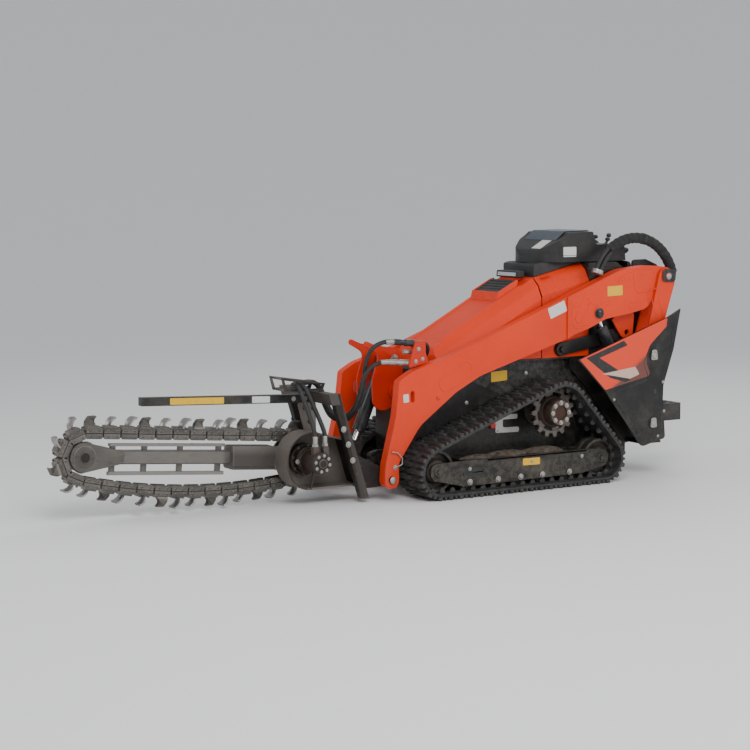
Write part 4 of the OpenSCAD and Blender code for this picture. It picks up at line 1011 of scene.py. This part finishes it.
frameWork = {"slot": [[-0.296, 0.169, 0.02], [-0.427, 0.158, 0.03], [-0.427, 0.098, 0.03], [-0.296, 0.109, 0.02]],
             "bolts": [(-0.335, 0.150), (-0.745, 0.160), (-1.090, 0.160)], "hubs": ((-0.134, 0.150), (-1.225, 0.140)),
             "hubProfile": [[0.004, 0.404], [0.030, 0.404], [0.030, 0.409], [0.026, 0.412], [0.014, 0.412],
                            [0.013, 0.420], [0.004, 0.421]],
             "sticker": [(-0.685, 0.140), (-0.800, 0.138), (-0.800, 0.176), (-0.685, 0.178)]}
slotEdge = corners(frameWork["slot"], 5)
y = faceY["frame"]
onBothSides("TrackFrameDetails", {
    "zinc": [boltsAt([(x, 0.0785) for x in track["rollers"]], y, 0.012, 0.010), boltsAt(frameWork["bolts"], y)],
    "undercarriage": [across(p, frameWork["hubProfile"], 28) for p in frameWork["hubs"]]
    + [bead(slotEdge, y, 0.003), slab([[-0.45, 0.186, 0.006], [-1.12, 0.186, 0.006], [-1.12, 0.196, 0.006],
                                       [-0.45, 0.196, 0.006]], y - 0.001, y + 0.007, 0.002)],
    "inkBlack": [label([tuple(p) for p in inset(slotEdge, 0.003)], y + 0.0001, 0.0006, 0)],
    "yellow": [label(frameWork["sticker"], y + 0.0002)],
}, "chassis")

tubWork = {"sticker": [(-0.613, 0.584), (-0.721, 0.590), (-0.721, 0.646), (-0.613, 0.640)],
           "bracket": [[-0.640, 0.300, 0.01], [-0.800, 0.295, 0.01], [-0.800, 0.325, 0.01], [-0.690, 0.328, 0.01],
                       [-0.690, 0.372, 0.01], [-0.790, 0.370, 0.01], [-0.790, 0.398, 0.01], [-0.640, 0.400, 0.01]],
           "bolts": [(-0.45, 0.62), (-0.85, 0.62), (-1.2, 0.62), (-0.45, 0.48), (-0.655, 0.385), (-0.655, 0.31)],
           "cap": [[0.003, 0.202], [0.020, 0.202], [0.020, 0.214], [0.016, 0.219], [0.003, 0.220]]}
y = faceY["tub"]
onBothSides("ChassisDetails", {
    "yellow": [label(tubWork["sticker"], y + 0.0001)],
    "white": [slab(tubWork["bracket"], y + 0.0001, y + 0.0055, 0.001)],
    "redCap": [across((-0.618, 0.345), tubWork["cap"], 24)],
    "zinc": [boltsAt(tubWork["bolts"], y + 0.0001, 0.008, 0.007)],
}, "chassis")
print("stickers, beads and bolts placed")


# hoses

hoseLoop = {"centre": (-1.540, 1.078), "y": 0.2985, "bend": 0.286, "r": 0.031, "from": 17, "to": 163, "sleeve": 50}


def loopPoints(a, off=0.0, dy=0.0):
    # circle arc in a side plane, its radius raised by off, in degrees from +X
    a = np.radians(a)
    r = hoseLoop["bend"] + off
    return np.stack([hoseLoop["centre"][0] + r * np.cos(a), hoseLoop["y"] + dy + 0 * a,
                     hoseLoop["centre"][1] + r * np.sin(a)], -1)


def hoseLoopPiece(name, sign):
    turn = (lambda p: p) if sign > 0 else mirrored
    a = np.linspace(hoseLoop["sleeve"], hoseLoop["to"], 120)
    swell = hoseLoop["r"] - 0.0012 + 0.0012 * np.sin(a * 0.9)
    swell[:4] *= [0.90, 0.97, 1, 1]
    sleeve = pipe(loopPoints(a), swell, 24)
    a = np.linspace(hoseLoop["from"] + 3, hoseLoop["sleeve"] + 6, 40)
    bare = [pipe(loopPoints(a, 0.0155 * math.cos(t), 0.0155 * math.sin(t)), 0.0125, 14) for t in (0.3, 2.4, 4.5)]
    start, end = loopPoints(np.array([hoseLoop["from"] + 1.0, hoseLoop["from"] + 7.0]))
    clamp = [along(start, end, [[0.022, 0], [0.033, 0.001], [0.034, 0.012], [0.033, 0.024], [0.022, 0.026]], 24)]
    low, high = loopPoints(np.array([hoseLoop["to"] - 0.5, hoseLoop["to"] + 5.0]))
    clamp.append(along(low, high, [[0.012, 0], [0.026, 0.001], [0.026, 0.018], [0.020, 0.020], [0.018, 0.026]], 6))
    strap = along(*loopPoints(np.array([100.0, 103.5])),
                  [[0.028, 0], [0.0325, 0.0005], [0.0325, 0.017], [0.028, 0.0175]], 28)
    groups = {"sleeve": [sleeve], "hoseRubber": bare, "zinc": clamp, "plastic": [strap]}
    obj = piece(name, {finish: [turn(p) for p in parts] for finish, parts in groups.items()}, None,
                [name[:name.index("Hose")] + "_hose_loop"])
    mesh = obj.data
    co = np.empty(len(mesh.vertices) * 3)
    mesh.vertices.foreach_get("co", co)
    co = co.reshape(-1, 3)
    corner = np.empty(len(mesh.loops), int)
    mesh.loops.foreach_get("vertex_index", corner)
    starts = np.array([p.loop_start for p in mesh.polygons])
    totals = np.array([p.loop_total for p in mesh.polygons])
    reach = np.hypot(co[:, 0] - hoseLoop["centre"][0], co[:, 2] - hoseLoop["centre"][1])
    # u runs along the hose in turns of its girth, v round it from 0 to 1, kept whole across the seam
    u = np.arctan2(co[:, 2] - hoseLoop["centre"][1], co[:, 0] - hoseLoop["centre"][0])[corner] * 1.47
    v = (np.arctan2(np.abs(co[:, 1]) - hoseLoop["y"], reach - hoseLoop["bend"]) / (2 * np.pi))[corner]
    v += np.where(np.repeat(np.maximum.reduceat(v, starts), totals) - v > 0.5, 1, 0)
    layer = mesh.uv_layers.new(name="along")
    layer.data.foreach_set("uv", np.stack([u, v], -1).ravel())
    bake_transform(obj)


for side, sign in sides.items():
    hoseLoopPiece(side + "HoseLoop", sign)

# the same points as the CAD hoses, in millimetres
hoseRoutes = [
    [[57.5, 256, 844], [110, 254, 845], [175, 242, 815], [208, 226, 740], [205, 205, 650], [205, 190, 560],
     [225, 150, 480], [262, 105, 425], [318, 50, 440], [345, 15, 510], [370, 14, 590], [425, 24, 632],
     [500, 35, 632], [562, 70, 630], [578, 125, 630], [574, 165, 610], [556, 205, 520], [544, 245, 430],
     [538, 260, 380], [538, 260, 350], [538, 260, 319.5]],
    [[89.5, 256, 738], [135, 256, 738], [190, 250, 715], [228, 238, 660], [242, 222, 585], [250, 190, 510],
     [278, 145, 455], [322, 90, 455], [350, 55, 515], [374, 42, 588], [425, 52, 632], [485, 74, 634],
     [530, 98, 630], [545, 128, 630], [537, 165, 610], [512, 205, 520], [490, 245, 430], [480, 260, 380],
     [480, 260, 350], [480, 260, 319.5]]]
hose = {"r": 0.0118, "wraps": (0.30, 0.62),
        "footCrimp": [[0.015, 0], [0.015, 0.014], [0.0135, 0.015], [0.0135, 0.052], [0.0125, 0.054]],
        "tailCrimp": [[0.015, 0], [0.015, 0.012], [0.0138, 0.014], [0.0138, 0.045], [0.0125, 0.047]],
        "nut": [[0.018, 0], [0.018, 0.013], [0.015, 0.015]],
        "wrap": [[0.0118, 0], [0.0136, 0.0005], [0.0136, 0.012], [0.0118, 0.0125]]}
hoseLines = [spline(np.array(route) / 1000, 7) for route in hoseRoutes]
hoseTubes, crimps = [pipe(line, hose["r"], 16) for line in hoseLines], []
for tail, foot in ((line[0], line[-1]) for line in hoseLines):
    crimps += [along(foot, foot + [0, 0, 0.06], hose["footCrimp"], 20),
               along(foot + [0, 0, 0.0005], foot + [0, 0, 0.02], hose["nut"], 6),
               along(tail, tail + [0.06, 0, 0], hose["tailCrimp"], 20)]
spots = [int(share * len(hoseLines[0])) for share in hose["wraps"]]
wraps = [along(hoseLines[0][k], hoseLines[0][k + 1], hose["wrap"], 20) for k in spots]
hoses = piece("trencherHoses", {"hoseRubber": hoseTubes, "zinc": crimps, "plastic": wraps}, None,
              ["trencher_hoses"])
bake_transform(hoses)
print("hoses made")


# couplers on the left arm

couplers = []
lean = np.array([math.cos(math.radians(6)), 0, math.sin(math.radians(6))])
for x, z in ((0.057, 0.844), (0.089, 0.738)):
    end = np.array([x, 0.256, z])
    couplers.append(along(end - 0.17 * lean, end, [
        [0.010, 0], [0.0165, 0.0005], [0.0165, 0.026], [0.0130, 0.028], [0.0130, 0.040], [0.0185, 0.042],
        [0.0185, 0.058], [0.0175, 0.060], [0.0175, 0.066], [0.0185, 0.068], [0.0185, 0.098], [0.0150, 0.102],
        [0.0150, 0.120], [0.0170, 0.122], [0.0170, 0.160], [0.0130, 0.169]], 24))
smallFit = along((-0.086, 0.256, 0.780), (0.0, 0.256, 0.789), [
    [0.008, 0], [0.013, 0.001], [0.013, 0.030], [0.010, 0.032], [0.010, 0.060], [0.013, 0.062], [0.013, 0.080]], 6)
elbows = [pipe(spline(route, 6), 0.011, 12) for route in (
    [[-0.112, 0.256, 0.826], [-0.150, 0.252, 0.822], [-0.172, 0.240, 0.795], [-0.176, 0.215, 0.760],
     [-0.165, 0.180, 0.730]],
    [[-0.080, 0.256, 0.720], [-0.120, 0.252, 0.712], [-0.140, 0.235, 0.690], [-0.142, 0.205, 0.660]])]
bracket = [slab([[-0.150, 0.724, 0.01], [-0.112, 0.836, 0.02], [-0.062, 0.836, 0.02], [-0.020, 0.700, 0.01]],
                0.275, 0.285),
           brick((-0.140, 0.236, 0.730), (-0.064, 0.2752, 0.842), 0.005)]
# the bracket takes the darker copy of the orange paint: painted shade between the arms
piece("couplerSet", {"paintedShadeOrange": bracket, "gloss": couplers[:1], "zinc": couplers[1:] + [smallFit] + [
    boltsAt([(-0.084, 0.800), (-0.067, 0.734), (-0.110, 0.745)], 0.285, 0.008, 0.007)], "hoseRubber": elbows},
    bodyOf["coupler_block"], ["coupler_block"])


# trencher head, motor and guards

drive, boltTurn = chain["drive"], 0.2
motor = [across(drive, [[0.02, 0.0845], [0.084, 0.0845], [0.084, 0.118], [0.080, 0.122], [0.071, 0.122],
                        [0.070, 0.128], [0.070, 0.156], [0.066, 0.160], [0.058, 0.160], [0.057, 0.164],
                        [0.057, 0.298], [0.050, 0.308], [0.030, 0.310], [0.018, 0.310]], 48),
         slab([[0.430, 0.235, 0.012], [0.520, 0.160, 0.05], [0.610, 0.235, 0.012], [0.520, 0.310, 0.05]],
              0.160, 0.172, 0.002, 8)]
motor += [slab([[x - 0.017, 0.250, 0.003], [x + 0.017, 0.250, 0.003], [x + 0.017, 0.318, 0.003],
                [x - 0.017, 0.318, 0.003]], 0.243, 0.277, 0.003) for x in (0.538, 0.480)]
motor.append(across(drive, [[0.01, 0.309], [0.024, 0.309], [0.024, 0.3135], [0.018, 0.316], [0.008, 0.316]], 28))
motorBolts = [boltRing(drive, 0.0765, 0.1215, 0.008, 0.007, turn=boltTurn),
              boltsAt([(0.446, 0.235), (0.594, 0.235)], 0.172, 0.009, 0.008),
              boltRing(drive, 0.042, 0.3085, 0.006, 0.005, turn=boltTurn)]
piece("driveMotorSet", {"rust": motor, "darkRust": motorBolts[:1], "zinc": motorBolts[1:]}, "attachment",
      ["drive_motor"])
headRim = corners([[0.250, 0.084], [0.345, 0.338], [0.500, 0.388, 0.120], [0.672, 0.388, 0.140],
                   [0.672, 0.084, 0.140]], 8)
plateBolts = boltsAt([(0.372, 0.400), (0.344, 0.318), (0.318, 0.232)], 0.270, 0.011, 0.010)
headParts = {
    "rust": [bead(inset(headRim, 0.004)[2:], 0.2005, 0.0035)],
    "darkRust": [boltsAt([(0.450, 0.500), (0.500, 0.505), (0.470, 0.430)], 0.084, 0.009, 0.008)],
    "zinc": [plateBolts, mirrored(plateBolts)],
}
piece("headDetails", headParts, "attachment")


def barLabel(x0, x1, low, high):
    # sticker on the leaning bar: its z follows the bar's slope
    z = lambda x, share: 0.527 + (x - 0.452) * 0.04397 + 0.044 * share
    return label([(x0, z(x0, low)), (x1, z(x1, low)), (x1, z(x1, high)), (x0, z(x0, high))], 0.0719, 0.0008, 0.003)


piece("barDetails", {"yellow": [barLabel(0.969, 1.274, 0.12, 0.88)], "white": [barLabel(0.701, 0.806, 0.12, 0.88)],
                     "zinc": [boltsAt([(0.492, 0.551), (0.560, 0.554)], 0.0718, 0.009, 0.008)]},
      "attachment")


def capPair(x, z, y0, y1, profile, steps):
    # the same round cap on both sides, its axis pointing outwards
    return [along((x, sign * y0, z), (x, sign * y1, z), profile, steps) for sign in (1, -1)]


tiltParts = {
    "zinc": capPair(-0.047, 0.738, 0.098, 0.11, [[0.004, 0], [0.022, 0], [0.022, 0.006], [0.004, 0.009]], 24),
    # the crossmember's caps take the darker copy of the orange paint: painted shade between the arms
    "paintedShadeOrange": capPair(-0.066, 0.562, 0.087, 0.10, [[0.043, 0], [0.052, 0.0005], [0.052, 0.011], [0.043, 0.012]], 36),
}
piece("crossmemberDetails", tiltParts, "loader_arms")
print("trencher details made")


# operator pad and platform

pad = {"front": -1.5568, "thick": 0.046, "half": 0.214, "low": 0.864, "high": 1.232, "channels": (-0.105, 0.0, 0.105)}


def padSkin():
    # thickness falls to nothing at the border, as ((1 - u^8)(1 - v^8))^0.45, and soft grooves press the channels in
    u, v = np.meshgrid(np.linspace(-1, 1, 81), np.linspace(-1, 1, 61), indexing="ij")
    dome = ((1 - u ** 8) * (1 - v ** 8)) ** 0.45
    y = pad["half"] * u * (1 - 0.015 * np.abs(v) ** 3)
    z = (pad["low"] + pad["high"]) / 2 + (pad["high"] - pad["low"]) / 2 * v * (1 - 0.015 * np.abs(u) ** 3)
    groove = sum(np.exp(-((y - c) / 0.006) ** 2) for c in pad["channels"]) + np.exp(-((v - 0.45) / 0.035) ** 2)
    puff = 0.006 * np.cos(y * 30) ** 2 * dome
    x = pad["front"] - 0.008 * (dome > 0) - pad["thick"] * dome - puff + 0.007 * np.minimum(groove, 1) * dome
    back = np.stack([x, y, z], -1)
    rows, cols = u.shape
    faces = gridFaces(rows, cols, closeCols=False)
    flat = np.stack([np.full_like(x, pad["front"]), y, z], -1)
    faces += (np.array(faces) + rows * cols).tolist()
    grid = np.arange(rows * cols).reshape(rows, cols)
    loop = np.concatenate([grid[0], grid[1:, -1], grid[-1, -2::-1], grid[-2:0:-1, 0]])
    ahead = np.roll(loop, -1)
    faces += np.stack([loop, ahead, ahead + rows * cols, loop + rows * cols], -1).tolist()
    return np.vstack([back.reshape(-1, 3), flat.reshape(-1, 3)]), faces


def wingSkin(sign):
    # padded wing beside the operator: its outline at eleven planes, drawn in at both faces as a rounded edge
    outline = corners([[-1.590, 1.080, 0.02], [-1.590, 1.236, 0.02], [-1.690, 1.238, 0.02], [-1.785, 1.200, 0.03],
                       [-1.780, 1.130, 0.03], [-1.700, 1.080, 0.03]], 7)
    rows = []
    for a in np.linspace(-np.pi / 2, np.pi / 2, 11):
        flat = inset(outline, 0.012 * (1 - math.cos(a)))
        rows.append(np.stack([flat[:, 0], np.full(len(flat), sign * 0.209 + 0.0128 * math.sin(a)), flat[:, 1]], -1))
    return skin(rows)


piping = pipe(spline([[pad["front"] - 0.012, s * pad["half"] * 0.985, z] for s, z in
                      ((-1, 0.875), (-1, 1.22), (1, 1.22), (1, 0.875))], 1), 0.0035, 8)
padObj = piece("operatorPad", {"foam": [padSkin(), wingSkin(1), wingSkin(-1)], "plastic": [piping]}, "chassis",
               ["operator_pad"], 50)
nx, ny = np.meshgrid(np.arange(7), np.arange(17), indexing="ij")
spots = np.stack([-1.915 + nx * 0.030, -0.224 + ny * 0.028, 0 * nx + 0.391], -1).reshape(-1, 3)
tilts = np.where((nx + ny) % 2 == 0, 0.8, -0.8).ravel()
c, s, o, l = np.cos(tilts), np.sin(tilts), 0 * tilts, 0 * tilts + 1
treadAxes = np.stack([np.stack([c, s, o], -1), np.stack([-s, c, o], -1), np.stack([o, o, l], -1)], 1)
rib = skin([[[x, -0.003 * k, 0.0], [x, 0.003 * k, 0.0], [x, 0.0015 * k, 0.0025], [x, -0.0015 * k, 0.0025]]
            for x, k in ((-0.011, 0.3), (-0.007, 1), (0.007, 1), (0.011, 0.3))])
piece("platformTread", {"black": [stamp(rib, spots, treadAxes)]}, "chassis")
print("pad and platform made")


# dried soil on the undercarriage

def heap(x, y, z, long, wide, high, seed):
    # low mound: a half dome whose height and edge are roughened by a few sine waves
    a, t = np.meshgrid(np.arange(28) * 2 * np.pi / 28, np.linspace(0, 1, 9), indexing="ij")
    rough = 1 + 0.14 * np.sin(3 * a + seed) + 0.10 * np.sin(7 * a + 2 * seed + 5 * t) + 0.06 * np.sin(13 * a - seed)
    r = np.sin(t * np.pi / 2)[None] * rough[None]
    h = high * np.cos(t * np.pi / 2) * (1 + 0.16 * np.sin(5 * a + 9 * t + seed) * t)
    grid = np.stack([x + long * r[0] * np.cos(a), y + wide * r[0] * np.sin(a), z + h], -1)
    return skin(np.swapaxes(grid, 0, 1)[::-1])


mounds = [heap(-0.42, 0.345, 0.196, 0.10, 0.045, 0.020, 1), heap(-0.62, 0.335, 0.196, 0.13, 0.055, 0.026, 2),
          heap(-0.86, 0.340, 0.196, 0.12, 0.05, 0.030, 3), heap(-0.96, 0.335, 0.195, 0.035, 0.05, 0.016, 4)]
onBothSides("SoilHeaps", {"soil": mounds}, "chassis")
print("soil laid")


# camera, lights and floor

view = {"place": (5.3347, 8.7241, 1.7010), "yaw": 31.378, "pitch": 5.914, "roll": -0.208, "lens": 90.7}


def makeCamera():
    yaw, pitch, roll = (math.radians(view[k]) for k in ("yaw", "pitch", "roll"))
    flat, up = Vector((-math.sin(yaw), -math.cos(yaw), 0)), Vector((0, 0, 1))
    ahead = flat * math.cos(pitch) - up * math.sin(pitch)
    over = flat * math.sin(pitch) + up * math.cos(pitch)
    right = ahead.cross(over)
    x, y = right * math.cos(roll) + over * math.sin(roll), over * math.cos(roll) - right * math.sin(roll)
    cam = bpy.data.objects.new("camera", bpy.data.cameras.new("camera"))
    cam.data.lens, cam.data.sensor_width = view["lens"], 36
    cam.matrix_world = Matrix.Translation(view["place"]) @ Matrix((x, y, -ahead)).transposed().to_4x4()
    scene.collection.objects.link(cam)
    scene.camera = cam


def makeLights():
    lamps = {"key": ((2.6, 6.0, 5.6), 4.2, 330), "fill": ((-4.5, 5.5, 3.4), 4.0, 150),
             "rim": ((-4.5, -3.5, 5.5), 3.0, 70), "nose": ((5.5, -1.5, 2.6), 2.6, 60)}
    for name, (at, size, power) in lamps.items():
        light = bpy.data.lights.new(name, "AREA")
        light.shape, light.size, light.energy = "DISK", size, power
        obj = bpy.data.objects.new(name, light)
        obj.location = at
        obj.rotation_euler = (Vector((-0.3, 0, 0.5)) - Vector(at)).to_track_quat("-Z", "Y").to_euler()
        scene.collection.objects.link(obj)
    world = scene.world or bpy.data.worlds.new("studio")
    scene.world = world
    world.use_nodes = True
    sky = world.node_tree.nodes["Background"]
    sky.inputs["Color"].default_value = (0.93, 0.95, 1.0, 1)
    sky.inputs["Strength"].default_value = 0.62


def makeFloor():
    # flat sheet that rises on all sides: past 9 m its height grows as the square of the distance further out
    x, y = np.meshgrid(np.linspace(-30, 30, 61), np.linspace(-30, 30, 61), indexing="ij")
    far = np.maximum(np.hypot(x, y) - 9, 0)
    mesh = bpy.data.meshes.new("floor")
    mesh.from_pydata(np.stack([x, y, far ** 2 * 0.05 - 0.0005], -1).reshape(-1, 3).tolist(), [],
                     gridFaces(61, 61, closeCols=False))
    mesh.shade_smooth()
    s = Shader("floorSheet")
    mesh.materials.append(s.finish((0.88, 0.88, 0.87), 0.8, 0, s.noise(30, 2), 0.02, 0.001))
    floor = bpy.data.objects.new("floor", mesh)
    scene.collection.objects.link(floor)


makeCamera()
makeLights()
makeFloor()
print("camera, lights and floor made")
